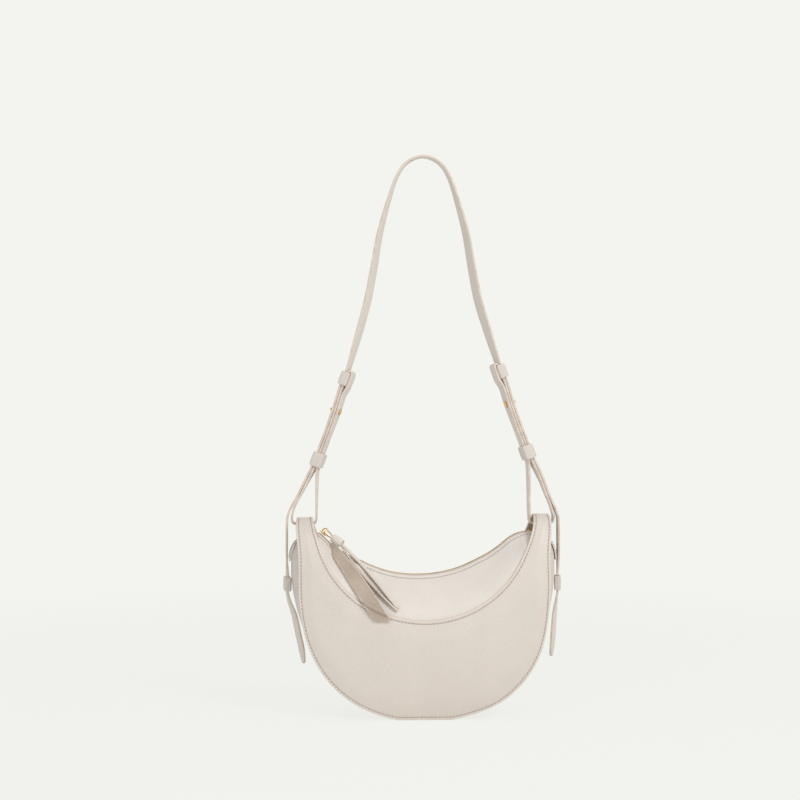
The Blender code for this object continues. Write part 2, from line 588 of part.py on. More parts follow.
def make_zip():
    tape = zip_strip(TAPE_INNER, TAPE_OUTER, TAPE_END, 33)
    sheet("front_zip_tape", tape, TAPE_THICKNESS, TAN, flip=False, offset=0.0)
    sheet("back_zip_tape", tape * MIRROR_Y, TAPE_THICKNESS, TAN, flip=True, offset=0.0)
    teeth = zip_strip(TEETH_INNER, TEETH_OUTER, TEETH_END, 29)
    metal = {"roughness": 0.3, "metallic": 1.0}
    sheet("front_zip_teeth", teeth, TEETH_THICKNESS, GOLD, False, offset=0.0, **metal)
    sheet("back_zip_teeth", teeth * MIRROR_Y, TEETH_THICKNESS, GOLD, True, offset=0.0, **metal)
    half = (STOP_LENGTH / 2.0, STOP_WIDTH / 2.0, STOP_THICKNESS / 2.0)
    for side, word in ((-1, "left"), (1, "right")):
        centre = (side * (STOP_START + STOP_LENGTH / 2.0), 0.0, ZIP_FLAT)
        mesh = box_mesh(word + "_zip_stop", centre, half, np.eye(3))
        place(word + "_zip_stop", mesh, GOLD, 0.3, 1.0)
        sheet(word + "_zip_tab", tab_grid(side), TAB_THICKNESS, CREAM, flip=side < 0)


# Strap


def within(z, window):
    """Smooth share of the way through a window of heights."""
    return smooth_step((z - window[0]) / (window[1] - window[0]))


def lifted(points, side):
    """Nominal (distance, height, ...) points in mm, put on one side with that side's lift, in metres."""
    points = np.array(points, dtype=float)
    z = points[:, 1]
    raise_share = within(z, LIFT_RISE) * (1.0 - within(z, LIFT_FALL))
    wider = (RIM_HALF_WIDTH - PATH_RIM) * (1.0 - within(z, WIDTH_FALL))
    points[:, 0] = side * (points[:, 0] * MM + wider) + TOP_LEAN * within(z, LEAN_RISE)
    points[:, 1] = STRAP_AXIS + z * MM + side * SIDE_LIFT * raise_share
    return points


class Ribbon:
    """The strap's middle line in the plane y = 0, with a frame at every distance along it."""

    def __init__(self, points, outward):
        self.rows = smooth_curve(points, 1600)
        steps = np.linalg.norm(np.diff(self.rows[:, :2], axis=0), axis=1)
        self.length = np.concatenate([[0.0], np.cumsum(steps)])
        self.total = self.length[-1]
        tangent = np.gradient(self.rows[:, :2], axis=0)
        self.tangent = tangent / np.linalg.norm(tangent, axis=1, keepdims=True)
        self.outward = outward

    def at_height(self, height, side):
        """Distance along the line of the place at a height on the left or right half."""
        z = self.rows[:, 1]
        half = (self.rows[:, 0] * side) > 0.0
        index = np.where(half)[0][np.argmin(np.abs(z[half] - height))]
        return self.length[index]

    def frame(self, distance, layer=0.0):
        """Middle, tangent, outward face direction and front edge direction; layer moves it inwards."""
        x, z, twist = (np.interp(distance, self.length, self.rows[:, k]) for k in range(3))
        tx, tz = (np.interp(distance, self.length, self.tangent[:, k]) for k in range(2))
        size = np.hypot(tx, tz)
        tx, tz = tx / size, tz / size
        c, s = np.cos(np.radians(twist)), np.sin(np.radians(twist))
        nx, nz = -tz * self.outward, tx * self.outward
        zero = np.zeros_like(x)
        face = np.stack([c * nx, s, c * nz], axis=-1)
        edge = np.stack([s * nx, -c, s * nz], axis=-1)
        middle = np.stack([x, zero, z], axis=-1) - np.asarray(layer)[..., None] * face
        return middle, np.stack([tx, zero, tz], axis=-1), face, edge


def strip(middle, edge, half_width, columns=2):
    share = np.linspace(-1.0, 1.0, columns)
    width = np.broadcast_to(half_width, middle.shape[:1])
    return middle[:, None] + (edge * width[:, None])[:, None] * share[None, :, None]


def tool_object(name, mesh):
    """A cutter or an added block, kept out of the render."""
    item = bpy.data.objects.new(name, mesh)
    bpy.context.scene.collection.objects.link(item)
    item.hide_render = True
    item.display_type = "WIRE"
    return item


def combine(item, tool, operation):
    step = item.modifiers.new(operation.title(), "BOOLEAN")
    step.operation = operation
    step.solver = "EXACT"
    step.object = tool


def square_axes(axis):
    """Two directions square to an axis and to each other."""
    axis = Vector(axis).normalized()
    first = axis.cross(Vector((0.0, 1.0, 0.0)))
    if first.length < 0.1:
        first = axis.cross(Vector((1.0, 0.0, 0.0)))
    first.normalize()
    return np.array(first), np.array(axis.cross(first))


def lathe_mesh(name, centre, axis, profile, segments):
    """A closed solid of revolution; profile is (radius, height along the axis) with both ends on it."""
    centre, axis = np.array(centre), np.array(axis) / np.linalg.norm(axis)
    first, second = square_axes(axis)
    points = [centre + axis * profile[0][1]]
    for radius, height in profile[1:-1]:
        for k in range(segments):
            angle = 2.0 * math.pi * k / segments
            out = math.cos(angle) * first + math.sin(angle) * second
            points.append(centre + axis * height + radius * out)
    points.append(centre + axis * profile[-1][1])
    rings = len(profile) - 2
    faces = []
    for k in range(segments):
        after = (k + 1) % segments
        faces.append((0, 1 + after, 1 + k))
        for ring in range(rings - 1):
            low = 1 + ring * segments
            faces.append((low + k, low + after, low + segments + after, low + segments + k))
        last = 1 + (rings - 1) * segments
        faces.append((last + k, last + after, len(points) - 1))
    mesh = bpy.data.meshes.new(name)
    mesh.from_pydata([tuple(p) for p in points], [], faces)
    return mesh


def rounded_rectangle(half_first, half_second, radius, per_corner=3):
    outline = []
    for sign_first, sign_second, start in ((1, 1, 0.0), (-1, 1, 0.5), (-1, -1, 1.0), (1, -1, 1.5)):
        for k in range(per_corner):
            angle = math.pi * (start + 0.5 * k / (per_corner - 1))
            outline.append((sign_first * (half_first - radius) + radius * math.cos(angle),
                            sign_second * (half_second - radius) + radius * math.sin(angle)))
    return outline


def band(name, middle, along, face, edge, layers, length, colour, origin=None):
    """A keeper: a leather band round a number of strap layers."""
    half_face = (layers * STACK_STEP - GAP) / 2.0 + GAP
    half_edge = STRAP_WIDTH / 2.0 + GAP
    inner = rounded_rectangle(half_face, half_edge, KEEPER_INNER_CORNER)
    outer = rounded_rectangle(half_face + KEEPER_WALL, half_edge + KEEPER_WALL, KEEPER_OUTER_CORNER)
    points = []
    for outline, end in ((inner, -1), (outer, -1), (outer, 1), (inner, 1)):
        for first, second in outline:
            points.append(middle + face * first + edge * second + along * (end * length / 2.0))
    count = len(inner)
    faces = []
    for ring in range(4):
        low, high = ring * count, (ring + 1) % 4 * count
        for k in range(count):
            after = (k + 1) % count
            faces.append((low + k, high + k, high + after, low + after))
    mesh = bpy.data.meshes.new(name)
    mesh.from_pydata([tuple(p) for p in points], [], faces)
    turn_outwards(mesh)
    place(name, mesh, colour, origin=origin)


def turn_outwards(mesh):
    """Turn a closed mesh's faces outwards."""
    work = bmesh.new()
    work.from_mesh(mesh)
    bmesh.ops.recalc_face_normals(work, faces=work.faces)
    if work.calc_volume(signed=True) < 0.0:
        bmesh.ops.reverse_faces(work, faces=work.faces)
    work.to_mesh(mesh)
    work.free()


def loop_rows(strap, stations, side, ring, keeper):
    """Middle line and edge directions of an anchor loop, once round; it shares the strap's stations."""
    up = 1.0 if side < 0 else -1.0              # the strap's line runs up on the left, down on the right
    ring_top = ring + up * RING_LENGTH / 2.0
    fold = (GAP + KEEPER_WALL / 2.0) + STRAP_THICKNESS / 2.0
    start = strap.at_height(LOOP_MEETS, side)
    between = (stations - start) * up > ROW_SPACE
    between &= (ring_top - stations) * up > ROW_SPACE
    outer = np.concatenate([[start], stations[between][::int(up)], [ring_top]])
    outer_middle, _, _, outer_edge = strap.frame(outer, STACK_STEP)
    middle, along, face, edge = strap.frame(np.array([ring_top]), STACK_STEP + fold)
    angle = np.radians(np.linspace(30.0, 150.0, 5))[:, None]
    fold_middle = middle + fold * (np.cos(angle) * face + np.sin(angle) * along * up)
    fold_edge = np.repeat(edge, 5, axis=0)
    joined, leaves = ring - up * LOOP_JOINS, keeper - up * (KEEPER_LENGTH / 2.0 + GAP)
    between = (joined - stations) * up > ROW_SPACE
    between &= (stations - leaves) * up > ROW_SPACE
    inner = np.concatenate([np.linspace(ring_top, ring - up * (RING_LENGTH / 2.0 + GAP), 3), [joined],
                            stations[between][::-int(up)], [leaves]])
    deep = np.where(np.arange(len(inner)) < 3, STACK_STEP + 2.0 * fold, 2.0 * STACK_STEP)
    inner_middle, _, _, inner_edge = strap.frame(inner, deep)
    run = lifted(INNER_RUN, side)
    run = np.stack([run[:, 0], np.zeros(len(run)), run[:, 1]], axis=1)
    twist = np.radians(np.linspace(LOOP_TWIST, 0.0, len(run)))
    run_edge = np.stack([side * np.sin(twist), -np.cos(twist), np.zeros(len(run))], axis=1)
    bottom = []
    centre_z = STRAP_AXIS + LOOP_CORNER
    for corner_x, first in ((LOOP_INNER + LOOP_CORNER, 180.0), (LOOP_OUTER - LOOP_CORNER, 270.0)):
        for turn in np.linspace(first, first + 90.0, 4):
            bottom.append((side * (corner_x + LOOP_CORNER * math.cos(math.radians(turn))), 0.0,
                           centre_z + LOOP_CORNER * math.sin(math.radians(turn))))
    rise = lifted(OUTER_RUN, side)
    rise = np.stack([rise[:, 0], np.zeros(len(rise)), rise[:, 1]], axis=1)
    lower = np.concatenate([np.array(bottom), rise])
    flat = np.repeat(np.array([[0.0, -1.0, 0.0]]), len(lower), axis=0)
    middle = np.concatenate([outer_middle, fold_middle, inner_middle, run, lower])
    return middle, np.concatenate([outer_edge, fold_edge, inner_edge, run_edge, flat])


def stud_profile(reach):
    """Turned outline of a stud, from its flat disc along the shank to its ball."""
    back = -reach - STUD_DISC_THICKNESS
    profile = [(0.0, back), (STUD_DISC - STUD_DISC_BEVEL, back), (STUD_DISC, back + STUD_DISC_BEVEL),
               (STUD_DISC, -reach), (SHANK_RADIUS, -reach), (SHANK_RADIUS, reach)]
    neck = math.sqrt(1.0 - (SHANK_RADIUS / STUD_BALL) ** 2)
    for turn in np.radians(STUD_BALL_TURNS):
        profile.append((STUD_BALL * math.cos(turn), reach + STUD_BALL * (neck + math.sin(turn))))
    profile.append((0.0, reach + STUD_BALL * (neck + 1.0)))
    return profile


def make_strap():
    half = [lifted(STRAP_PATH, side) for side in (-1, 1)]
    strap = Ribbon(np.concatenate([half[0], half[1][-2::-1]]), 1.0)
    turns = np.radians(STRAP_END_TURNS)
    drop = STRAP_WIDTH / 2.0 * np.sin(turns)
    end_width = STRAP_WIDTH / 2.0 * np.cos(turns)
    end_x = half[1][0, 0]
    stations = np.linspace(0.0, strap.total, STRAP_ROWS)
    middle, _, _, edge = strap.frame(stations)
    left_end, right_end = (np.stack([np.full(len(turns), side * end_x), 0.0 * drop, STRAP_AXIS - drop],
                                    axis=1) for side in (-1, 1))
    flat = np.repeat(np.array([[0.0, -1.0, 0.0]]), len(turns), axis=0)
    middle = np.concatenate([left_end, middle, right_end[::-1]])
    edge = np.concatenate([flat, edge, flat])
    width = np.concatenate([end_width, np.full(STRAP_ROWS, STRAP_WIDTH / 2.0), end_width[::-1]])
    swing = (0.0, 0.0, STRAP_AXIS)
    shoulder = sheet("shoulder_strap", strip(middle, edge, width), STRAP_THICKNESS, CREAM, False,
                     offset=0.0, origin=swing)
    for side, word, tail_path in ((-1, "left", LEFT_TAIL_PATH), (1, "right", RIGHT_TAIL_PATH)):
        lift = side * SIDE_LIFT
        ring = strap.at_height(RING_Z + lift, side)
        stud = strap.at_height(STUD_Z + lift, side)
        keeper = strap.at_height(KEEPER_Z + lift, side)
        loop_middle, loop_edge = loop_rows(strap, stations, side, ring, keeper)
        loop = sheet(word + "_anchor_loop", strip(loop_middle, loop_edge, STRAP_WIDTH / 2.0),
                     STRAP_THICKNESS, CREAM, False, wrap=True, offset=0.0, origin=swing)
        band(word + "_upper_ring", *strap.frame(ring, STACK_STEP / 2.0), 2, RING_LENGTH, TAN, origin=swing)
        place_middle = strap.frame(keeper, STACK_STEP)
        band(word + "_middle_keeper", *place_middle, 3, KEEPER_LENGTH, TAN, origin=tuple(place_middle[0]))
        centre, _, face, _ = strap.frame(stud, STACK_STEP)
        reach = 1.5 * STACK_STEP + GAP / 2.0
        mesh = lathe_mesh(word + "_stud", centre, face, stud_profile(reach), 14)
        turn_outwards(mesh)
        place(word + "_stud", mesh, GOLD, 0.3, 1.0, origin=swing)
        hole, deep = SHANK_RADIUS + GAP, reach + GAP
        drill = [(0.0, -deep), (hole, -deep), (hole, deep), (0.0, deep)]
        drill = tool_object(word + "_stud_hole", lathe_mesh(word + "_stud_hole", centre, face, drill, 12))
        combine(shoulder, drill, "DIFFERENCE")
        combine(loop, drill, "DIFFERENCE")

        tail = Ribbon(lifted(tail_path, side), -side * 1.0)
        taper = np.array(TAIL_TAPER)
        rows = np.concatenate([np.linspace(0.0, tail.total - TAIL_POINT, 14)[:-1],
                               tail.total - TAIL_POINT * taper[:, 0]])
        middle, _, _, edge = tail.frame(rows)
        width = np.concatenate([np.ones(13), taper[:, 1]]) * STRAP_WIDTH / 2.0
        sheet(word + "_strap_tail", strip(middle, edge, width), STRAP_THICKNESS, CREAM, False, offset=0.0)
        keeper = tail.length[np.argmin(np.abs(tail.rows[:, 1] - SIDE_KEEPER_HEIGHT))]
        band(word + "_side_keeper", *tail.frame(keeper), 1, SIDE_KEEPER_LENGTH, TAN)


# Zip slider and pull


def unit(vector):
    vector = np.array(vector, dtype=float)
    return vector / np.linalg.norm(vector)


def extrude_outline(name, outline, centre, first, second, along, length):
    """A prism: a 2-D outline in the directions first and second, run both ways along the third."""
    points = [centre + first * u + second * v + along * (end * length / 2.0)
              for end in (-1, 1) for u, v in outline]
    count = len(outline)
    faces = [tuple(range(count)), tuple(range(2 * count - 1, count - 1, -1))]
    for k in range(count):
        after = (k + 1) % count
        faces.append((k, count + k, count + after, after))
    mesh = bpy.data.meshes.new(name)
    mesh.from_pydata([tuple(p) for p in points], [], faces)
    turn_outwards(mesh)
    return mesh


def wire_ring(name, centre, reach, aim, across, sides=6, turns=7):
    """An elongated ring of wire: two half turns joined by straight runs, its far end at reach."""
    square = np.cross(aim, across)
    points = []
    for end, first in ((0.0, 90.0), (reach, 270.0)):
        for turn in np.linspace(first, first + 180.0, turns):
            angle = math.radians(turn)
            out = math.cos(angle) * aim + math.sin(angle) * across
            middle = centre + aim * end + out * LINK_RADIUS
            for k in range(sides):
                around = 2.0 * math.pi * (k + 0.5) / sides
                points.append(middle + WIRE_RADIUS * (math.cos(around) * out + math.sin(around) * square))
    rings = 2 * turns
    faces = []
    for ring in range(rings):
        low, high = ring * sides, (ring + 1) % rings * sides
        for k in range(sides):
            after = (k + 1) % sides
            faces.append((low + k, low + after, high + after, high + k))
    mesh = bpy.data.meshes.new(name)
    mesh.from_pydata([tuple(p) for p in points], [], faces)
    turn_outwards(mesh)
    return mesh


def face_depth(x, z):
    """How far the bag's front stands out at a place in the front view: yoke above, panel below."""
    top, bend = zip_line(x), bend_height(x)
    t = np.clip((z - bend) / (top - bend), 0.0, 1.0)
    lean = ZIP_SEAM + (skin_depth(x, bend) - ZIP_SEAM) * (1.0 - t ** LEAN_POWER)
    return np.where(z > bend, lean, half_depth(z) + pillow(x, z))


def face_normal(x, z):
    """Direction square to the bag's front at places in the front view, one row each."""
    reach = FACE_REACH
    slope_x = (face_depth(x + reach, z) - face_depth(x - reach, z)) / (2.0 * reach)
    slope_z = (face_depth(x, z + reach) - face_depth(x, z - reach)) / (2.0 * reach)
    square = np.stack([-slope_x, -np.ones_like(x), -slope_z], axis=1)
    return square / np.linalg.norm(square, axis=1, keepdims=True)


def tongue(name, start, tip, shape, broad, axis):
    """One strip of the pull along the bag's face; broad strips lie flat to it, the others stand on edge."""
    shape = np.array(shape)
    share = shape[:, 0]
    x = start[0] + (tip[0] - start[0]) * share
    z = start[2] + (tip[1] - start[2]) * share
    square = face_normal(x, z)
    around = ((0.0, 0.0), (FACE_REACH, 0.0), (-FACE_REACH, 0.0), (0.0, FACE_REACH), (0.0, -FACE_REACH))
    proud = np.max([face_depth(x + a, z + b) + (square[:, 0] * a + square[:, 2] * b) / -square[:, 1]
                    for a, b in around], axis=0)
    y = -proud + shape[:, 1] * MM / square[:, 1]
    y[0] = start[1]
    square[0] = square[1]
    columns = np.column_stack([x, z, y, shape[:, 2] * MM, square])
    rows = smooth_curve(columns, TONGUE_ROWS)
    middle = np.stack([rows[:, 0], rows[:, 2], rows[:, 1]], axis=1)
    along = np.gradient(middle, axis=0)
    along /= np.linalg.norm(along, axis=1, keepdims=True)
    across = np.cross(rows[:, 4:7], along)
    across /= np.linalg.norm(across, axis=1, keepdims=True)
    edge = across if broad else np.cross(across, along)
    sheet(name, strip(middle, edge, rows[:, 3]), TONGUE_THICKNESS, CREAM, False, offset=0.0,
          origin=tuple(axis))


def make_pull():
    parked = np.array([SLIDER_X, 0.0, float(zip_circle(SLIDER_X))])
    inward = unit((ZIP_CENTRE_X - SLIDER_X, 0.0, ZIP_CENTRE_Z - parked[2]))
    along = np.array([inward[2], 0.0, -inward[0]])
    depth = np.array([0.0, 1.0, 0.0])
    half, post = SLIDER_WIDTH / 2.0, POST_THICKNESS / 2.0
    near, far = PLATE_INNER, PLATE_INNER + PLATE_THICKNESS
    outline = [(-half, far), (-half, near), (-post, near), (-post, -near), (-half, -near), (-half, -far),
               (half, -far), (half, -near), (post, -near), (post, near), (half, near), (half, far)]
    mesh = extrude_outline("zip_slider", outline, parked, depth, inward, along, SLIDER_LENGTH)
    swing = (ZIP_CENTRE_X, 0.0, ZIP_CENTRE_Z)
    slider = place("zip_slider", mesh, GOLD, 0.3, 1.0, origin=swing)
    span, leg = BAIL_SPAN / 2.0, BAIL_SPAN / 2.0 - BAIL_BAR
    top, under, foot = BAIL_AXIS + BAIL_BAR / 2.0, BAIL_AXIS - BAIL_BAR / 2.0, far - PLATE_THICKNESS / 2.0
    outline = [(-span, foot), (-leg, foot), (-leg, under), (leg, under), (leg, foot), (span, foot),
               (span, top), (-span, top)]
    bail = extrude_outline("bail_tool", outline, parked, depth, inward, along, BAIL_BAR)
    combine(slider, tool_object("bail_tool", bail), "UNION")

    bar = parked + inward * BAIL_AXIS
    aim = unit(LINK_AIM)
    across = unit(np.cross(depth, aim))
    ring = wire_ring("pull_ring", bar, LINK_REACH, aim, across)
    place("pull_ring", ring, GOLD, 0.3, 1.0, origin=tuple(bar))

    pivot = bar + aim * LINK_REACH
    flat = np.cross(aim, across)
    wrap_aim = unit(WRAP_AIM)
    neck = WRAP_RADIUS - WRAP_BEVEL
    profile = [(0.0, 0.0), (neck, 0.0), (WRAP_RADIUS, WRAP_BEVEL), (WRAP_RADIUS, WRAP_LENGTH - WRAP_BEVEL),
               (neck, WRAP_LENGTH), (0.0, WRAP_LENGTH)]
    mesh = lathe_mesh("pull_wrap", pivot + wrap_aim * WRAP_START, wrap_aim, profile, 12)
    turn_outwards(mesh)
    wrap = place("pull_wrap", mesh, CREAM, origin=tuple(pivot))
    deep = LINK_RADIUS + WIRE_RADIUS + GAP
    side = unit(np.cross(flat, wrap_aim))
    slot = box_mesh("slot_tool", pivot, (deep, WRAP_RADIUS * 1.5, WIRE_RADIUS + GAP),
                    (unit(np.cross(side, flat)), side, flat))
    turn_outwards(slot)
    combine(wrap, tool_object("slot_tool", slot), "DIFFERENCE")
    bridge_end = WIRE_RADIUS + GAP + BRIDGE_SEAT
    profile = [(0.0, -bridge_end), (BRIDGE_RADIUS, -bridge_end), (BRIDGE_RADIUS, bridge_end),
               (0.0, bridge_end)]
    bridge = lathe_mesh("bridge_tool", pivot, flat, profile, 8)
    turn_outwards(bridge)
    combine(wrap, tool_object("bridge_tool", bridge), "UNION")

    wrap_end = pivot + wrap_aim * (WRAP_START + WRAP_LENGTH + 3.0 * GAP)
    ahead = wrap_end + wrap_aim * WRAP_LENGTH
    across = unit(np.cross(face_normal(np.array([ahead[0]]), np.array([ahead[2]]))[0], wrap_aim))
    if across[0] < 0.0:
        across = -across
    step = TONGUE_THICKNESS + FACET_GAP + GAP
    tongue("wide_tongue", wrap_end + across * WIDE_PLACE * step, WIDE_TIP, WIDE_SHAPE, True, pivot)
    tongue("lower_tongue", wrap_end + across * LOWER_PLACE * step, LOWER_TIP, NARROW_SHAPE, False, pivot)
    tongue("upper_tongue", wrap_end + across * UPPER_PLACE * step, UPPER_TIP, NARROW_SHAPE, False, pivot)


clear_scene()
make_body()
make_zip()
make_strap()
make_pull()
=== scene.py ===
"""Dresses the saddle handbag: leather panels, yokes and gusset, stitching, zip, buttoned strap and pull.

Every shape repeats the measures of the solid it stands for, in metres, +Z up, front towards -Y.
"""

import math

import bmesh
import bpy
import numpy as np
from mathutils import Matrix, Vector


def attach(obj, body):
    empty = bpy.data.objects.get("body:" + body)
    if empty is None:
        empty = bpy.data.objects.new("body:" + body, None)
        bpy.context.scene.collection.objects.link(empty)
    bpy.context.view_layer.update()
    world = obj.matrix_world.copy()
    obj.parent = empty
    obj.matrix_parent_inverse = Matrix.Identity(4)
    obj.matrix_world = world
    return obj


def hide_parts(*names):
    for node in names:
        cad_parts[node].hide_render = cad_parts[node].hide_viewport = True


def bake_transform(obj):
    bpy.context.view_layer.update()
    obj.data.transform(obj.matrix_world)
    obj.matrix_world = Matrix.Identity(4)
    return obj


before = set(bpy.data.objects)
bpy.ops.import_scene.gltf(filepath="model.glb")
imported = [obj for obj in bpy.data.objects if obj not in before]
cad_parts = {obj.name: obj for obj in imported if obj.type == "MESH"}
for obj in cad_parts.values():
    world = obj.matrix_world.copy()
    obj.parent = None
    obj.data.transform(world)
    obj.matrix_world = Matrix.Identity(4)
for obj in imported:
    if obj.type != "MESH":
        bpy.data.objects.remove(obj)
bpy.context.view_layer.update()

MM = 0.001

# Front view of the saddle panel
RIM_HALF_WIDTH = 119.3 * MM
RIM_CENTRE = 138.0 * MM
RIM_DROP = 140.0 * MM
RIM_SIDE_POWER = 2.1
RIM_BASE_POWER = 2.6
SCOOP_RADIUS = 102.0 * MM
SCOOP_CENTRE = 195.7 * MM
ARM_FLARE = 3.5 * MM
ARM_FLARE_START = 150.0 * MM
ARM_ROOT = 160.0 * MM

# Side view of the bag
CROWN_HEIGHT = 192.0 * MM
BODY_HALF_DEPTH = 37.0 * MM
CROWN_POWER = 6.0
CROWN_SQUARENESS = 0.45
CROWN_SEAM = 0.5 * MM
CROWN_TURN = 0.87       # share of the crown's height above which the side profile turns over
BASE_TUCK = 2.5 * MM
BASE_TUCK_HEIGHT = 60.0 * MM
PILLOW = 3.5 * MM
PILLOW_CENTRE = 75.0 * MM
PILLOW_REACH = 95.0 * MM

# How the soft body stands
PADDING = 1.5 * MM          # rise of the padding between a panel's seams
SAG = 2.8 * MM              # the left crown's drop
SCOOP_PULL = 2.5 * MM
CREST_RISE = 1.4 * MM
LOW_SWELL = 2.2 * MM

# Layers
PANEL_THICKNESS = 2.4 * MM
YOKE_THICKNESS = 1.8 * MM
GUSSET_THICKNESS = 1.8 * MM
LINING_THICKNESS = 0.9 * MM
LINING_GAP = 1.8 * MM
POCKET_THICKNESS = 0.8 * MM
POCKET_GAP = 1.4 * MM
POCKET_HALF_WIDTH = 62.0 * MM
POCKET_LOW = 28.0 * MM
POCKET_HIGH = 84.0 * MM
LAYER_GAP = 0.5 * MM
YOKE_LAP = 10.0 * MM
GUSSET_INSET = 1.0 * MM
GUSSET_LOW_SWELL = 1.0 * MM
GUSSET_SIDE_SWELL = 7.7 * MM
SWELL_START = 65.0 * MM
SWELL_RISE = 75.0 * MM
HOOD_START = 148.0 * MM
STITCH_INSET = 2.7 * MM
TOP_STITCH = 4.6 * MM
STITCH_PITCH = 3.4 * MM
STITCH_SLANT = math.radians(7.0)
THREAD = 0.5 * MM

# Zip
ZIP_RADIUS = 128.0 * MM
ZIP_CENTRE_X = -5.6 * MM
ZIP_CENTRE_Z = 261.7 * MM
ZIP_FLAT = 175.2 * MM
ZIP_LEFT_END = -99.9 * MM
ZIP_RIGHT_END = 79.0 * MM
ZIP_EASED = 106.0 * MM
EAR_START = 112.0 * MM
EAR_END = 128.0 * MM
EAR_DROP = 15.2 * MM
ZIP_SEAM = 6.2 * MM
LEAN_POWER = 1.5
LEAN_LEAST = 14.0 * MM
ROOF_HALF = 116.0 * MM
HOOD_END = ROOF_HALF - 2.0 * MM
TAPE_END = 115.6 * MM
TEETH_END = 99.4 * MM
STOP_PLACE = 103.6 * MM
EAR_THICKNESS = 1.4 * MM
TEETH_PITCH = 1.3 * MM
TEETH_RISE = 0.15 * MM

# Strap
STRAP_WIDTH = 12.0 * MM
STRAP_THICKNESS = 2.1 * MM
STACK_STEP = 2.4 * MM
STRAP_AXIS = 183.0 * MM
SIDE_LIFT = 3.65 * MM
TOP_LEAN = -2.5 * MM
LOOP_INNER = 102.7 * MM
LOOP_OUTER = 126.3 * MM
LOOP_CORNER = 3.2 * MM
LOOP_GATHER = 0.42      # share of its width that a loop loses in the crown's tunnel
KEEPER_WALL = 1.8 * MM
KEEPER_EASE = 0.3 * MM
RING_LENGTH = 13.0 * MM
KEEPER_LENGTH = 13.6 * MM
SIDE_KEEPER_LENGTH = 13.3 * MM
SIDE_KEEPER_HEIGHT = 125.4 * MM
TAIL_POINT = 18.0 * MM
STUD_BALL = 1.8 * MM
RING_Z = 326.2 * MM
STUD_Z = 296.0 * MM
KEEPER_Z = 248.9 * MM

# Half of the strap's path in mm: distance from the middle, height, twist in degrees
STRAP_PATH = (
    (131.0, 183.0, 0), (130.6, 189.0, 0), (127.9, 197.0, 0), (122.0, 209.0, 1.5), (116.1, 222.0, 5),
    (110.2, 233.8, 9), (105.6, 242.4, 12), (103.2, 248.9, 12), (98.9, 260.4, 12), (94.6, 271.9, 12),
    (92.3, 278.0, 12.4), (87.4, 291.2, 16), (85.6, 296.0, 16.5), (80.2, 313.9, 18), (77.9, 320.05, 18),
    (75.6, 326.2, 18), (73.3, 332.35, 18), (71.0, 338.5, 19), (62.0, 368.0, 30), (53.5, 398.0, 32),
    (47.7, 427.5, 30), (41.5, 463.0, 24), (32.3, 497.0, 14), (24.5, 519.0, 8), (14.7, 531.6, 3),
    (0.0, 537.0, 0))
LEFT_TAIL_PATH = (
    (131.2, 160.0, 0), (131.0, 145.0, 3), (130.6, 134.0, 8), (130.6, 125.4, 8), (130.6, 117.0, 8),
    (128.6, 108.0, 13), (123.9, 95.0, 22), (119.8, 75.7, 24), (117.6, 66.0, 24), (114.7, 48.7, 24))
RIGHT_TAIL_PATH = (
    (131.2, 160.0, 0), (131.0, 145.0, 3), (130.6, 134.0, 8), (130.6, 125.4, 8), (130.6, 117.0, 8),
    (129.4, 108.0, 13), (127.7, 95.0, 22), (126.3, 75.7, 24), (125.8, 68.0, 24), (124.3, 54.0, 24))
INNER_RUN = ((101.7, 236.5), (102.1, 229.0), (102.3, 219.0), (102.4, 208.0), (102.6, 196.0), (102.7, 187.5))
OUTER_RUN = ((126.1, 192.0), (123.7, 199.5))

# Slider and pull
SLIDER_X = -97.5 * MM
SLIDER_HALF = 4.2 * MM
BAIL_AXIS = 4.5 * MM
BAIL_HALF = 2.25 * MM
BAIL_CORNER = 0.9 * MM
LINK_AIM = (0.72, -0.35, -0.60)
LINK_REACH = 8.0 * MM
EYE_RADIUS = 2.6 * MM
PRONG_HALF = 1.85 * MM
WRAP_AIM = (0.76, -0.44, -0.48)
WRAP_RADIUS = 4.4 * MM
WRAP_THICKNESS = 1.15 * MM
WRAP_START = 2.0 * MM
WRAP_LENGTH = 12.0 * MM
WRAP_TURN = 4.6 * math.pi
TONGUE_THICKNESS = 1.5 * MM
PULL_CLEARANCE = 1.2 * MM
PRINT_RIDGE, PRINT_DENT = 1.1 * MM, 1.2 * MM
WIDE_START = (-89.3 * MM, -8.2 * MM, 164.6 * MM)
WIDE_TIP = (-40.2 * MM, 94.8 * MM)
# Share of a tongue's length, how far it keeps clear of the bag and its half width there, in mm
WIDE_SHAPE = ((0.0, 2.0, 3.9), (0.07, 2.0, 4.4), (0.3, 2.2, 5.6), (0.5, 2.4, 6.5), (0.75, 2.6, 6.8),
              (0.87, 2.8, 6.3), (1.0, 2.4, 6.5))
NARROW_SHAPE = ((0.0, 3.0, 1.8), (0.2, 3.7, 2.4), (0.5, 3.8, 2.6), (0.85, 3.4, 2.4), (1.0, 2.8, 1.6))
# Each narrow strip's tip (x, z), offset at the wrap, lean and bow
NARROW_STRIPS = (("lower", (-25.6 * MM, 104.2 * MM), -1.0 * MM, 0.0, -2.7 * MM),
                 ("upper", (-25.0 * MM, 105.8 * MM), 0.6 * MM, -0.35, 1.4 * MM))

MIRROR_X = np.array([-1.0, 1.0, 1.0])
MIRROR_Y = np.array([1.0, -1.0, 1.0])


def smooth_step(value):
    """0 below 0, 1 above 1, and 3t^2 - 2t^3 between."""
    t = np.clip(value, 0.0, 1.0)
    return t * t * (3.0 - 2.0 * t)


def unit(vectors):
    """Vectors at length 1."""
    return vectors / np.maximum(np.linalg.norm(vectors, axis=-1, keepdims=True), 1e-12)


def grid_normals(points):
    """Square to a grid of points: the cross product of its differences along either side."""
    return unit(np.cross(np.gradient(points, axis=0), np.gradient(points, axis=1)))


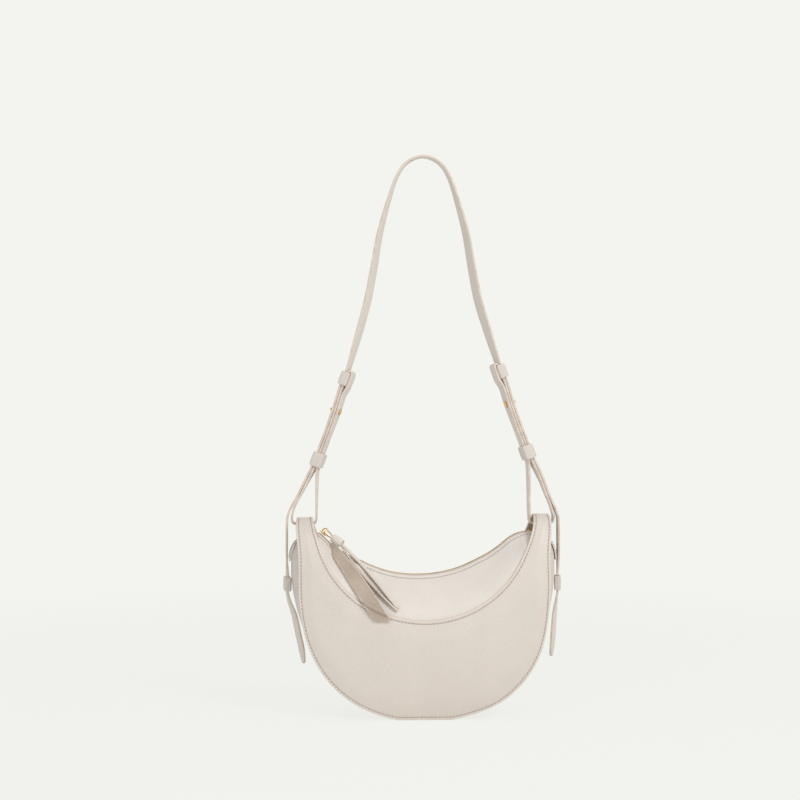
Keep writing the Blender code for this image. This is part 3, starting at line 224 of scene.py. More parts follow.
def front_normals(points):
    """A grid's normals, each turned to the front."""
    normal = grid_normals(points)
    return normal * np.where(normal[..., 1:2] > 0.0, -1.0, 1.0)


def joined(*values):
    """Values side by side as the columns of points, spread to one shape."""
    return np.stack(np.broadcast_arrays(*values), axis=-1)


def circle(turn):
    """Points of the unit circle."""
    return joined(np.cos(turn), np.sin(turn))


def tangents(line):
    """Directions along a line of points."""
    return unit(np.gradient(line, axis=0))


def run_length(points):
    """Distance along a line of points from its first."""
    return np.concatenate([[0.0], np.cumsum(np.linalg.norm(np.diff(points, axis=0), axis=1))])


def read_off(places, run, points):
    """The columns of points at places along their run."""
    return joined(*(np.interp(places, run, column) for column in points.T))


def resample(points, share):
    """Points at given shares of a polyline's length."""
    run = run_length(points)
    return read_off(np.asarray(share) * run[-1], run, points)


# Meshes


def build(name, vertices, faces, finishes, edge=None, shell=True):
    """One mesh piece at the origin. faces is a list of index arrays, one row a face: the k-th takes the
    k-th finish, or the last there is. edge is 1 on a cut edge, one value a vertex. A shell is smooth and
    faces outwards."""
    mesh = bpy.data.meshes.new(name)
    mesh.from_pydata(np.asarray(vertices).tolist(), [], [row for part in faces for row in part.tolist()])
    mask = np.zeros(len(vertices)) if edge is None else np.asarray(edge)
    mesh.attributes.new("edge", "FLOAT", "POINT").data.foreach_set("value", mask.astype(np.float32))
    for finish in finishes:
        mesh.materials.append(finish)
    index = np.concatenate([np.full(len(part), min(k, len(finishes) - 1)) for k, part in enumerate(faces)])
    mesh.polygons.foreach_set("material_index", index.astype(np.int32))
    if shell:
        work = bmesh.new()
        work.from_mesh(mesh)
        bmesh.ops.recalc_face_normals(work, faces=work.faces)
        work.to_mesh(mesh)
        work.free()
        mesh.shade_smooth()
    piece = bpy.data.objects.new(name, mesh)
    bpy.context.scene.collection.objects.link(piece)
    return piece


def quads(index):
    """One row a quad for a grid of vertex numbers."""
    corners = (index[:-1, :-1], index[1:, :-1], index[1:, 1:], index[:-1, 1:])
    return np.stack(corners, axis=-1).reshape(-1, 4)


def grid_faces(rows, columns):
    """Quads of a grid of points stored row by row."""
    return quads(np.arange(rows * columns).reshape(rows, columns))


def tube_faces(rows, columns, closed=False):
    """Quads of rings of points stored one after another. A closed tube joins its last ring to its first; an
    open one has a fan at either end, to the two points stored after the rings."""
    index = np.arange(rows * columns).reshape(rows, columns)
    if closed:
        index = np.vstack([index, index[:1]])
    index = np.hstack([index, index[:, :1]])
    if closed:
        return [quads(index)]
    first, last, pole = index[0], index[-1], np.full(columns, rows * columns)
    return [quads(index), np.stack([pole, first[:-1], first[1:]], axis=1),
            np.stack([pole + 1, last[1:], last[:-1]], axis=1)]


def slab(name, points, thickness, finishes, rim=0.6 * MM, steps=2):
    """A closed sheet of leather or cloth on a grid of points.

    Its face is the grid, its back the grid moved along its normals by the thickness, and round the border
    the face turns over to the back through two quarter circles of radius rim. finishes is the face, the
    back and the cut edge.
    """
    points = np.asarray(points)
    rows, columns = points.shape[:2]
    normal = grid_normals(points)
    down, across = np.arange(rows), np.arange(columns)
    row = np.concatenate([down, np.full(columns - 1, rows - 1), down[::-1][1:], np.zeros(columns - 2, int)])
    column = np.concatenate([np.zeros(rows, int), across[1:], np.full(rows - 1, columns - 1),
                             across[::-1][1:-1]])
    border, square = points[row, column], normal[row, column]
    out = unit(np.cross(np.roll(border, -1, 0) - np.roll(border, 1, 0), square))
    front = points.copy()
    front[row, column] = border - out * rim
    back = points - normal * thickness
    back[row, column] -= out * rim
    turn = np.linspace(0.0, math.pi / 2.0, steps + 1)[1:]
    reach = np.concatenate([rim * np.sin(turn) - rim, rim * np.sin(turn[::-1]) - rim])
    deep = np.concatenate([rim * (1.0 - np.cos(turn)), thickness - rim * (1.0 - np.cos(turn[::-1]))])
    side = border + out * reach[:, None, None] - square * deep[:, None, None]
    total, ring, loops = rows * columns, len(row), len(reach)
    first = row * columns + column
    band = np.vstack([first, 2 * total + np.arange(loops * ring).reshape(loops, ring), total + first])
    face = grid_faces(rows, columns)
    vertices = np.concatenate([front.reshape(-1, 3), back.reshape(-1, 3), side.reshape(-1, 3)])
    faces = [face, face[:, ::-1] + total, quads(np.hstack([band, band[:, :1]]))]
    return build(name, vertices, faces, finishes, np.repeat([0.0, 1.0], [2 * total, loops * ring]))


def carried(name, middle, first, second, profile, finishes, closed=False, edge=None, scale=None):
    """A section carried along a path: each row is the path's point plus the section's two offsets along
    two directions given there. scale multiplies the second offset row by row. Open ends are capped."""
    profile = np.asarray(profile)
    second_offset = profile[None, :, 1] * (np.ones(len(middle)) if scale is None else scale)[:, None]
    points = (middle[:, None] + first[:, None] * profile[None, :, :1]
              + second[:, None] * second_offset[..., None])
    vertices = points.reshape(-1, 3)
    mask = None if edge is None else np.tile(edge, len(middle))
    if not closed:
        vertices = np.vstack([vertices, points[0].mean(0), points[-1].mean(0)])
        mask = None if mask is None else np.append(mask, [1.0, 1.0])
    return build(name, vertices, tube_faces(*points.shape[:2], closed), finishes, mask)


def section(half_first, half_second, radius, steps=3, groove=0.0):
    """A rounded rectangle, corner by corner; groove notches the middle of its two second-offset sides."""
    turn = np.linspace(0.0, math.pi / 2.0, steps)
    corner = radius * circle(turn)
    flat, high = half_first - radius, half_second - radius
    parts = [corner + (flat, high), corner[::-1] * (-1.0, 1.0) + (-flat, high),
             corner * (-1.0, -1.0) + (-flat, -high), corner[::-1] * (1.0, -1.0) + (flat, -high)]
    if groove:
        mouth = 0.22 * half_first
        notch = np.array([(mouth, half_second), (0.0, half_second - groove), (-mouth, half_second)])
        parts = [parts[0], notch, *parts[1:3], -notch, parts[3]]
    return np.concatenate(parts)


def lathe(name, centre, axis, profile, finishes, segments=32):
    """A solid of revolution: every (radius, height) of the profile turned about the axis."""
    axis = unit(axis)
    seed = np.array([0.0, 1.0, 0.0]) if abs(axis[1]) < 0.9 else np.array([1.0, 0.0, 0.0])
    one = unit(np.cross(axis, seed))
    two = np.cross(axis, one)
    turn = 2.0 * math.pi * np.arange(segments) / segments
    around = np.cos(turn)[:, None] * one + np.sin(turn)[:, None] * two
    inner = profile[1:-1]
    rings = centre + inner[:, None, 1:] * axis + inner[:, None, :1] * around[None]
    poles = centre + profile[[0, -1], 1][:, None] * axis
    return build(name, np.vstack([rings.reshape(-1, 3), poles]), tube_faces(len(inner), segments), finishes)


def repeated(name, template, faces, centres, axes, finishes, edge=None):
    """The same small shape at many places: template points times three directions at each centre."""
    points = centres[:, None] + np.einsum("tk,nkj->ntj", template, axes)
    shift = (np.arange(len(centres)) * len(template))[:, None, None]
    parts = [(part[None] + shift).reshape(-1, part.shape[1]) for part in faces]
    mask = None if edge is None else np.tile(edge, len(centres))
    return build(name, points.reshape(-1, 3), parts, finishes, mask)


def stitching(name, line, square, finishes, pitch=STITCH_PITCH, length=2.5 * MM, end=4.0 * MM):
    """A row of saddle stitches along a line on a surface whose normals are given, short of its ends.

    Each stitch is a thread section carried along a shallow arch, high in the middle and under the leather
    at both ends, and turned a few degrees from the seam.
    """
    run = run_length(line)
    free = run[-1] - end - end
    count = int(free / pitch)
    place = end + (free - count * pitch) / 2.0 + (np.arange(count) + 0.5) * pitch
    centre, up = read_off(place, run, line), unit(read_off(place, run, square))
    forward = unit(read_off(place, run, np.gradient(line, axis=0)))
    side = unit(np.cross(up, forward))
    forward = np.cross(side, up)
    c, s = math.cos(STITCH_SLANT), math.sin(STITCH_SLANT)
    forward, side = forward * c + side * s, side * c - forward * s
    rings, sides = 5, 6
    share = np.linspace(-1.0, 1.0, rings)
    lift = THREAD * (0.75 - 1.35 * share ** 2)
    turn = 2.0 * math.pi * np.arange(sides) / sides
    thick = THREAD * np.sqrt(1.0 - 0.55 * share ** 2)
    template = joined(share[:, None] * length / 2.0, thick[:, None] * np.cos(turn),
                      lift[:, None] + thick[:, None] * np.sin(turn)).reshape(-1, 3)
    template = np.vstack([template, [[-length * 0.56, 0.0, lift[0]], [length * 0.56, 0.0, lift[-1]]]])
    # share of the needle hole's painted shade on each ring of a stitch: all at its ends, none in its middle
    edge = np.append(np.repeat([1.0, 0.6, 0.0, 0.6, 1.0], sides), [1.0, 1.0])
    return repeated(name, template, tube_faces(rings, sides), centre, np.stack([forward, side, up], axis=1),
                    finishes, edge)


# Finishes


class Signal:
    """A value in a node tree; arithmetic on it adds Math nodes."""

    def __init__(self, nodes, socket):
        self.nodes = nodes
        self.socket = socket

    def __add__(self, other):
        return self.nodes.sum_up("ADD", self, other)

    __radd__ = __add__

    def __sub__(self, other):
        return self.nodes.sum_up("SUBTRACT", self, other)

    def __rsub__(self, other):
        return self.nodes.sum_up("SUBTRACT", other, self)

    def __mul__(self, other):
        return self.nodes.sum_up("MULTIPLY", self, other)

    __rmul__ = __mul__

    def wave(self):
        return self.nodes.sum_up("SINE", self)

    def between(self, low, high):
        """0 at low, 1 at high, and smooth between; low may be the greater."""
        node = self.nodes.node("ShaderNodeMapRange", {"interpolation_type": "SMOOTHSTEP"},
                               {"Value": self, "From Min": low, "From Max": high})
        return Signal(self.nodes, node.outputs["Result"])


class Nodes:
    """Adds nodes to a tree."""

    def __init__(self, tree):
        self.tree = tree

    def node(self, kind, settings=None, inputs=None):
        """Adds a node: its settings first, then values or links on its sockets, by name or number."""
        made = self.tree.nodes.new(kind)
        for key, value in (settings or {}).items():
            setattr(made, key, value)
        for key, value in (inputs or {}).items():
            value = value.socket if isinstance(value, Signal) else value
            if isinstance(value, bpy.types.NodeSocket):
                self.tree.links.new(value, made.inputs[key])
            else:
                made.inputs[key].default_value = value
        return made

    def sum_up(self, operation, *values):
        """A Math node on values or links."""
        node = self.node("ShaderNodeMath", {"operation": operation}, dict(enumerate(values)))
        return Signal(self, node.outputs[0])

    def backdrop(self, lit, kind, colour, output, share=1.0):
        """The lit shader, with a share of one plain colour where the camera, a mirror or glass looks."""
        rays = self.node("ShaderNodeLightPath").outputs
        seen = self.sum_up("MAXIMUM", rays["Is Camera Ray"], rays["Is Glossy Ray"])
        seen = self.sum_up("MAXIMUM", seen, rays["Is Transmission Ray"])
        glow = self.node(kind, None, {"Color": linear(colour), "Strength": 1.0})
        mix = self.node("ShaderNodeMixShader", None, {0: seen * share, 1: lit, 2: glow.outputs[0]})
        self.tree.links.new(mix.outputs[0], self.tree.nodes[output].inputs["Surface"])


class Finish(Nodes):
    """A node material whose shader is one Principled BSDF."""

    def __init__(self, name, roughness=0.5, **constants):
        self.material = bpy.data.materials.new(name)
        self.material.use_nodes = True
        super().__init__(self.material.node_tree)
        self.shader = self.tree.nodes["Principled BSDF"]
        self.shader.inputs["Roughness"].default_value = roughness
        for socket, value in constants.items():
            self.shader.inputs[socket.replace("_", " ")].default_value = value
        self.place = self.node("ShaderNodeTexCoord").outputs["Object"]

    def noise(self, scale, detail=2.0, place=None, roughness=0.5):
        node = self.node("ShaderNodeTexNoise", None, {
            "Vector": place or self.place, "Scale": scale, "Detail": detail, "Roughness": roughness})
        return Signal(self, node.outputs[0])

    def cells(self, scale, kind, place):
        node = self.node("ShaderNodeTexVoronoi", {"feature": kind}, {"Vector": place, "Scale": scale})
        return Signal(self, node.outputs["Distance"])

    def stretched(self, x, y, z):
        """The object's place with each axis scaled."""
        node = self.node("ShaderNodeMapping", None, {"Vector": self.place, "Scale": (x, y, z)})
        return node.outputs["Vector"]

    def axes(self):
        outputs = self.node("ShaderNodeSeparateXYZ", None, {0: self.place}).outputs
        return (Signal(self, outputs[name]) for name in "XYZ")

    def edge(self):
        """1 on a cut edge, 0 on the faces; on a stitch, 1 at its two ends, where it takes its needle
        hole's painted shade.
        """
        node = self.node("ShaderNodeAttribute", {"attribute_name": "edge"})
        return Signal(self, node.outputs["Fac"])

    def tint(self, share, low, high):
        """Colour that goes from low to high as share goes from 0 to 1; either may be a link."""
        low, high = (c if isinstance(c, bpy.types.NodeSocket) else linear(c) for c in (low, high))
        return self.node("ShaderNodeMix", {"data_type": "RGBA"}, {0: share, 6: low, 7: high}).outputs[2]

    def bump(self, height, strength, distance, onto=None):
        """A normal from a height, on top of another normal if one is given."""
        node = self.node("ShaderNodeBump", None, {
            "Height": height, "Strength": strength, "Distance": distance})
        if onto is not None:
            self.tree.links.new(onto, node.inputs["Normal"])
        return node.outputs["Normal"]

    def wire(self, **outputs):
        """Links values to the shader's inputs and returns the material."""
        for name, value in outputs.items():
            socket = value.socket if isinstance(value, Signal) else value
            self.tree.links.new(socket, self.shader.inputs[name.replace("_", " ")])
        return self.material


def shade(colour, share):
    """A colour with each channel times a share, no brighter than white."""
    return tuple(min(255.0, share * c) for c in colour)


def linear(colour):
    """An sRGB colour in 0 to 255 as linear light."""
    c = np.asarray(colour, float) / 255.0
    c = np.where(c <= 0.04045, c / 12.92, ((c + 0.055) / 1.055) ** 2.4)
    return (*c.tolist(), 1.0)


def grained_leather(name, colour, deep, edge_colour, grain=1.0, roughness=0.52):
    """Fine pebbled calf: cells of about a millimetre with pores between, a slow mottle, a deeper colour in
    the hollows, and a painted cut edge."""
    finish = Finish(name, roughness, Sheen_Weight=0.12, Sheen_Roughness=0.5)
    warp = finish.noise(240.0)
    drift = finish.node("ShaderNodeTexNoise", None, {"Vector": finish.place, "Scale": 420.0}).outputs[1]
    drift = finish.node("ShaderNodeVectorMath", {"operation": "SCALE"}, {0: drift, "Scale": 0.9 * MM})
    shifted = finish.node("ShaderNodeVectorMath", {"operation": "ADD"}, {
        0: finish.place, 1: drift.outputs[0]}).outputs[0]
    pebble = finish.cells(1050.0 / grain, "SMOOTH_F1", shifted)
    crease = finish.cells(560.0 / grain, "DISTANCE_TO_EDGE", shifted).between(0.0, 0.09)
    pores = finish.noise(3600.0, 1.0)
    slow = finish.noise(17.0, 3.0)
    streak = finish.noise(55.0, 2.0, finish.stretched(1.0, 1.0, 0.35))
    edge = finish.edge()
    height = crease * 0.45 - pebble * 0.5 + pores * 0.18 + warp * 0.3
    hollow = (1.0 - crease) * 0.35 + pebble.between(0.25, 0.75) * 0.25 + pores.between(0.62, 0.8) * 0.2
    body = finish.tint(slow.between(0.3, 0.7) * 0.5 + streak.between(0.35, 0.65) * 0.2, colour,
                       shade(colour, 0.965))
    body = finish.tint(hollow * 0.55, body, deep)
    paint = finish.tint(finish.noise(130.0).between(0.35, 0.7), edge_colour, shade(edge_colour, 0.93))
    skin = finish.bump(height, 0.32, 0.16 * MM)
    skin = finish.bump(slow + streak * 0.4, 0.2, 0.9 * MM, skin)
    gloss = roughness - 0.05 + pebble * 0.08 + slow * 0.06 - edge * 0.16
    return finish.wire(Base_Color=finish.tint(edge, body, paint), Roughness=gloss, Normal=skin)


def suede(name, colour, deep):
    """Brushed flesh side of leather: short fibres, combed one way in soft patches."""
    finish = Finish(name, 0.9, Sheen_Weight=0.35, Sheen_Roughness=0.6)
    fibre = finish.noise(1500.0, 4.0, finish.stretched(1.0, 1.0, 0.45), 0.7)
    patch = finish.noise(36.0, 3.0)
    body = finish.tint((fibre * 0.55 + patch * 0.45).between(0.3, 0.72), colour, deep)
    pale = finish.tint(finish.edge() * 0.5, body, shade(colour, 1.12))
    return finish.wire(Base_Color=pale, Roughness=0.8 + fibre * 0.15,
                       Normal=finish.bump(fibre + patch * 0.4, 0.5, 0.25 * MM))


def edge_paint(name, colour, dark):
    """Layers of edge dye, rubbed smooth, darker in fine streaks and soft patches."""
    finish = Finish(name, 0.38, Coat_Roughness=0.25)
    grain = finish.noise(900.0, 3.0, finish.stretched(0.4, 0.4, 1.0))
    patch = finish.noise(60.0)
    body = finish.tint(grain.between(0.5, 0.85) * 0.5 + patch.between(0.4, 0.8) * 0.35, colour, dark)
    return finish.wire(Base_Color=body, Roughness=0.34 + grain * 0.12, Coat_Weight=0.08 + patch * 0.1,
                       Normal=finish.bump(grain, 0.25, 0.12 * MM))


def woven(name, colour, deep, pitch, twill=0.5):
    """A plain or twill weave: warp and weft as two sine ridges that pass over each other in turn."""
    finish = Finish(name, 0.85, Sheen_Weight=0.25, Sheen_Roughness=0.5)
    x, y, z = finish.axes()
    rate = 2.0 * math.pi / pitch
    warp = ((x + y * 0.8) * rate).wave()
    weft = ((z + y * 0.5) * rate).wave()
    over = ((x + z * twill) * rate * 0.5).wave().between(-0.2, 0.2)
    thread = warp * over + weft * (1.0 - over)
    fuzz = finish.noise(1800.0, 3.0)
    patch = finish.noise(24.0)
    body = finish.tint((thread * 0.4 + 0.5 + fuzz * 0.2).between(0.1, 1.0), deep, colour)
    body = finish.tint(patch.between(0.4, 0.75) * 0.3, body, deep)
    return finish.wire(Base_Color=body, Roughness=0.78 + fuzz * 0.14,
                       Normal=finish.bump(thread + fuzz * 0.5, 0.45, 0.14 * MM))


def polished_gold(name, colour, deep, roughness=0.2):
    """Light gold plate: bright, with faint drawn lines, hairline wear and a warmer tone in its lows."""
    finish = Finish(name, roughness, Metallic=1.0)
    drawn = finish.noise(900.0, 3.0, finish.stretched(0.15, 1.0, 1.0))
    cloud = finish.noise(120.0, 3.0)
    rub = finish.noise(2600.0).between(0.6, 0.75)
    body = finish.tint(cloud.between(0.3, 0.7), colour, deep)
    return finish.wire(Base_Color=body, Roughness=roughness - 0.04 + drawn * 0.12 + rub * 0.08,
                       Normal=finish.bump(drawn + cloud * 0.6, 0.12, 0.08 * MM))


def spun_thread(name, colour, hole_shade):
    """Waxed thread: two plies that wind round each other, with painted shade where it goes down its
    needle hole.
    """
    finish = Finish(name, 0.55, Sheen_Weight=0.2)
    x, y, z = finish.axes()
    ply = ((x + z) * (2.0 * math.pi / (0.55 * MM)) + y * 9000.0).wave()
    fuzz = finish.noise(4200.0)
    body = finish.tint((ply * 0.3 + 0.5 + fuzz * 0.3).between(0.2, 0.95), shade(colour, 0.86), colour)
    # the needle hole's painted shade, laid over the stitch's two ends
    body = finish.tint(finish.edge().between(0.1, 0.9), body, hole_shade)
    return finish.wire(Base_Color=body, Roughness=0.5 + fuzz * 0.15, Normal=finish.bump(ply, 0.3, 0.1 * MM))


panel_leather = grained_leather("panel_leather", (228, 218, 209), (192, 180, 170), (232, 219, 206))
yoke_leather = grained_leather("yoke_leather", (236, 228, 220), (204, 193, 183), (234, 222, 210))
gusset_leather = grained_leather("gusset_leather", (220, 211, 204), (184, 172, 162), (230, 217, 204))
strap_leather = grained_leather("strap_leather", (227, 217, 208), (186, 171, 158), (228, 212, 198), 0.85)
keeper_leather = grained_leather("keeper_leather", (224, 214, 206), (176, 162, 152), (238, 222, 206), 0.8,
                                 0.56)
# tan flesh side on the backs of the leather pieces, darkened partly as painted shade for the arms' shaded
# insides
shaded_flesh_side = suede("shaded_flesh_side", (176, 152, 128), (140, 116, 94))
# flesh side of the pull, its tan darkened partly as painted shade, since the wide strip's face turns away
# from the lamps
shaded_pull_flesh = suede("shaded_pull_flesh", (196, 180, 164), (170, 152, 135))
panel_edge = edge_paint("panel_edge", (236, 221, 206), (206, 188, 170))
strap_edge = edge_paint("strap_edge", (232, 217, 203), (196, 176, 158))
lining_weave = woven("lining_weave", (198, 184, 165), (158, 142, 122), 0.9 * MM)
tape_weave = woven("tape_weave", (238, 229, 218), (206, 192, 176), 0.7 * MM, 1.0)
board = suede("board", (170, 150, 126), (146, 126, 104))
plated_gold = polished_gold("plated_gold", (236, 196, 134), (206, 156, 92))
teeth_gold = polished_gold("teeth_gold", (226, 190, 124), (172, 132, 74), 0.34)
# the last colour of each thread is the painted shade of its needle holes, over the stitches' ends
thread = spun_thread("thread", (228, 216, 205), (84, 69, 59))
seam_thread = spun_thread("seam_thread", (224, 212, 201), (134, 116, 103))


# Shape of the body


def half_depth(z):
    """Half of the body's depth at a height: a superellipse that closes at the crown, drawn in below."""
    z = np.asarray(z, dtype=float)
    top = np.clip(1.0 - (np.clip(z, 0.0, CROWN_HEIGHT) / CROWN_HEIGHT) ** CROWN_POWER, 0.0, 1.0)
    tuck = BASE_TUCK * np.clip(1.0 - z / BASE_TUCK_HEIGHT, 0.0, 1.0) ** 2
    return BODY_HALF_DEPTH * top ** CROWN_SQUARENESS - tuck


def depth_within(z, distance):
    """Half of the depth at a height, less a distance measured square to the side profile."""
    step = 0.5 * MM
    slope = (half_depth(z + step) - half_depth(z - step)) / (2.0 * step)
    return half_depth(z) - distance * np.sqrt(1.0 + slope ** 2)


def side_profile():
    """Height and half depth along the side profile, with the length run from the base."""
    low = np.linspace(0.0, CROWN_TURN * CROWN_HEIGHT, 300)
    angle = np.linspace(math.asin(CROWN_TURN ** (CROWN_POWER / 2.0)), math.pi / 2.0, 400)[1:]
    z = np.concatenate([low, CROWN_HEIGHT * np.sin(angle) ** (2.0 / CROWN_POWER)])
    high = BODY_HALF_DEPTH * np.cos(angle) ** (2.0 * CROWN_SQUARENESS)
    depth = np.concatenate([half_depth(low), high])
    run = np.concatenate([[0.0], np.cumsum(np.hypot(np.diff(z), np.diff(depth)))])
    keep = depth >= CROWN_SEAM
    return run[keep], z[keep], depth[keep]


RUN, RUN_HEIGHT, RUN_DEPTH = side_profile()


def pillow(x, z):
    """Swell of a padded face: a parabola across times one up, greatest in the middle."""
    across = np.clip(1.0 - (x / RIM_HALF_WIDTH) ** 2, 0.0, 1.0)
    upright = np.clip(1.0 - ((z - PILLOW_CENTRE) / PILLOW_REACH) ** 2, 0.0, 1.0)
    return PILLOW * across * upright


def flare(z):
    """How far the arms lean outwards at a height."""
    return ARM_FLARE * smooth_step((z - ARM_FLARE_START) / (CROWN_HEIGHT - ARM_FLARE_START))


def rim_curve():
    """Right half of the outline as (x, z): flat base, superellipse, then straight up."""
    first = math.asin(min(1.0, RIM_CENTRE / RIM_DROP) ** (RIM_BASE_POWER / 2.0))
    angle = np.linspace(first, 0.0, 400)
    x = RIM_HALF_WIDTH * np.cos(angle) ** (2.0 / RIM_SIDE_POWER)
    z = RIM_CENTRE - RIM_DROP * np.sin(angle) ** (2.0 / RIM_BASE_POWER)
    side = np.linspace(RIM_CENTRE, RUN_HEIGHT[-1], 80)[1:]
    x = np.concatenate([[0.0], x, RIM_HALF_WIDTH + flare(side)])
    return joined(x, np.concatenate([[0.0], z, side]))


def rim_height(x, inset):
    """Lower outline of a layer whose edge lies inside the rim by inset."""
    share = np.clip(np.abs(x) / (RIM_HALF_WIDTH - inset), 0.0, 1.0)
    drop = (1.0 - share ** RIM_SIDE_POWER) ** (1.0 / RIM_BASE_POWER)
    return np.maximum(inset, RIM_CENTRE - (RIM_DROP - inset) * drop)


def scoop_half_width(z):
    """Half of the opening between the arms: the scoop's circle, moved out with the arms."""
    return np.sqrt(np.clip(SCOOP_RADIUS ** 2 - (SCOOP_CENTRE - z) ** 2, 0.0, None)) + flare(z)


def mirrored(right):
    """A grid or line that starts on the middle line, joined to its mirror image on the left."""
    return np.concatenate([right[::-1][:-1] * MIRROR_X, right])


def edge_spread(inset, columns, length):
    """Shares across a width that crowd round the stitch lines near both of its edges."""
    near = np.array([0.0, 0.45, 0.75, 0.9, 1.0, 1.1, 1.25, 1.5]) * inset / length
    between = np.linspace(near[-1], 1.0 - near[-1], columns + 2)[1:-1]
    return np.concatenate([near, between, 1.0 - near[::-1]])


def groove(distance, inset=STITCH_INSET, depth=0.34 * MM, width=0.75 * MM):
    """Dip that a tight seam presses: a bell curve round its distance from the edge."""
    return depth * np.exp(-((distance - inset) / width) ** 2)


def panel_grid(low_steps=120, arm_steps=34):
    """Front saddle panel, rows from scoop to rim and running from one crown round the base to the other.

    Rows join equal shares of the scoop's and the rim's length; up to the arms both are spaced evenly, and
    above them rows lie straight across. Depth follows the side profile by its own length. Between the
    seams the padding swells, and the seams and the edges are pulled down."""
    share = np.linspace(0.0, 1.0, low_steps)
    rim = rim_curve()
    outer = resample(rim[rim[:, 1] <= ARM_ROOT], share)
    scoop_z = SCOOP_CENTRE - SCOOP_RADIUS * np.cos(np.linspace(0.0, math.pi / 2.0, 400))
    scoop_z = scoop_z[scoop_z <= ARM_ROOT]
    inner = resample(joined(scoop_half_width(scoop_z), scoop_z), share)
    arm_run = np.linspace(np.interp(ARM_ROOT, RUN_HEIGHT, RUN), RUN[-1], arm_steps + 1)[1:]
    arm_z = np.interp(arm_run, RUN, RUN_HEIGHT)
    outer_run = np.concatenate([np.interp(outer[:, 1], RUN_HEIGHT, RUN), arm_run])[:, None]
    inner_run = np.concatenate([np.interp(inner[:, 1], RUN_HEIGHT, RUN), arm_run])[:, None]
    outer_x = np.concatenate([outer[:, 0], RIM_HALF_WIDTH + flare(arm_z)])[:, None]
    inner_x = np.concatenate([inner[:, 0], scoop_half_width(arm_z)])[:, None]
    width = np.hypot(outer_x - inner_x, outer_run - inner_run)
    t = np.array([edge_spread(STITCH_INSET, 22, w) for w in width[:, 0]])
    x = inner_x * (1.0 - t) + outer_x * t
    run = inner_run * (1.0 - t) + outer_run * t
    z = np.interp(run, RUN, RUN_HEIGHT)
    grid = mirrored(joined(x, -(np.interp(run, RUN, RUN_DEPTH) + pillow(x, z)), z))
    distance = np.minimum(t, 1.0 - t) * width
    distance = np.concatenate([distance[::-1][:-1], distance])
    calm = smooth_step((CROWN_HEIGHT - 2.0 * MM - grid[..., 2]) / (12.0 * MM))
    padding = PADDING * smooth_step((distance - 2.0 * MM) / (15.0 * MM)) * calm
    fold = 0.35 * MM * np.sin(grid[..., 0] / (23.0 * MM) + 0.7) * np.sin(grid[..., 2] / (31.0 * MM))
    lift = padding - groove(distance) + fold * smooth_step(distance / (20.0 * MM)) * calm
    return grid + front_normals(grid) * lift[..., None], distance


def zip_circle(x):
    """Height of the circle that the slider runs on."""
    return ZIP_CENTRE_Z - np.sqrt(np.clip(ZIP_RADIUS ** 2 - (x - ZIP_CENTRE_X) ** 2, 0.0, None))


def zip_line(x):
    """Height of the zip: the slider's circle, eased to the flat runs under the arms and down the ears."""
    x = np.asarray(x, dtype=float)
    z = zip_circle(np.clip(x, ZIP_LEFT_END, ZIP_RIGHT_END))
    for end, outward in ((ZIP_LEFT_END, -1.0), (ZIP_RIGHT_END, 1.0)):
        start = float(zip_circle(end))
        slope = abs(end - ZIP_CENTRE_X) / (ZIP_CENTRE_Z - start)
        reach = ZIP_EASED - end * outward
        t = np.clip((x - end) * outward / reach, 0.0, 1.0)
        eased = start + slope * reach * t * (1.0 - t) ** 2 + (ZIP_FLAT - start) * t * t * (3.0 - 2.0 * t)
        z = np.where(t > 0.0, np.minimum(eased, ZIP_FLAT), z)
    share = np.clip((np.abs(x) - EAR_START) / (EAR_END - EAR_START), 0.0, 1.0)
    return z - EAR_DROP * (0.5 - 0.5 * np.cos(math.pi * share))


def bend_height(x):
    """Where the yoke leaves the saddle panel and starts to lean in to the zip."""
    scoop = SCOOP_CENTRE - np.sqrt(np.clip(SCOOP_RADIUS ** 2 - np.asarray(x) ** 2, 0.0, None))
    return np.minimum(scoop, zip_line(x) - LEAN_LEAST)


def skin_depth(x, z):
    """Depth of the second skin, which lies against the back of the saddle panel."""
    return depth_within(z, PANEL_THICKNESS + LAYER_GAP) + pillow(x, z)


def skin_grid(half, low, columns, low_rows, lean_rows):
    """Columns of the second skin from low up to its bend and then in to the zip: the depth there goes from
    the panel's to the zip seam's by 1 - t^1.5 of the height."""
    x = np.linspace(-half, half, columns)[:, None]
    bend, top = bend_height(x), zip_line(x)
    low = low(x, bend)
    upright = low + (bend - low) * np.linspace(0.0, 1.0, low_rows)[None]
    depth = skin_depth(x, upright)
    t = np.linspace(0.0, 1.0, lean_rows + 1)[None, 1:]
    lean = ZIP_SEAM + (depth[:, -1:] - ZIP_SEAM) * (1.0 - t ** LEAN_POWER)
    z = np.concatenate([upright, bend + (top - bend) * t], axis=1)
    return joined(x, -np.concatenate([depth, lean], axis=1), z)


def roof_inside(x, distance, share):
    """Places (y, z) at a distance inside the leaning yoke, from its bend at share 1 to the middle at 0."""
    bend, top = float(bend_height(x)), float(zip_line(x))
    t = np.linspace(0.0, 1.0, 40)
    start = float(skin_depth(x, bend))
    depth = np.append(ZIP_SEAM + (start - ZIP_SEAM) * (1.0 - t ** LEAN_POWER), 0.0)
    z = np.append(bend + (top - bend) * t, top)
    slope_y, slope_z = np.gradient(depth), np.gradient(z)
    length = np.hypot(slope_y, slope_z)
    inside_y = np.maximum(depth - distance * slope_z / length, 0.0)
    return resample(joined(inside_y, z + distance * slope_y / length), 1.0 - share).T


def gusset_swell(z):
    """How far the gusset's middle stands out from the rim: a little at the base and more at the sides."""
    low = GUSSET_LOW_SWELL * smooth_step(z / (15.0 * MM))
    return low + GUSSET_SIDE_SWELL * smooth_step((z - SWELL_START) / SWELL_RISE)


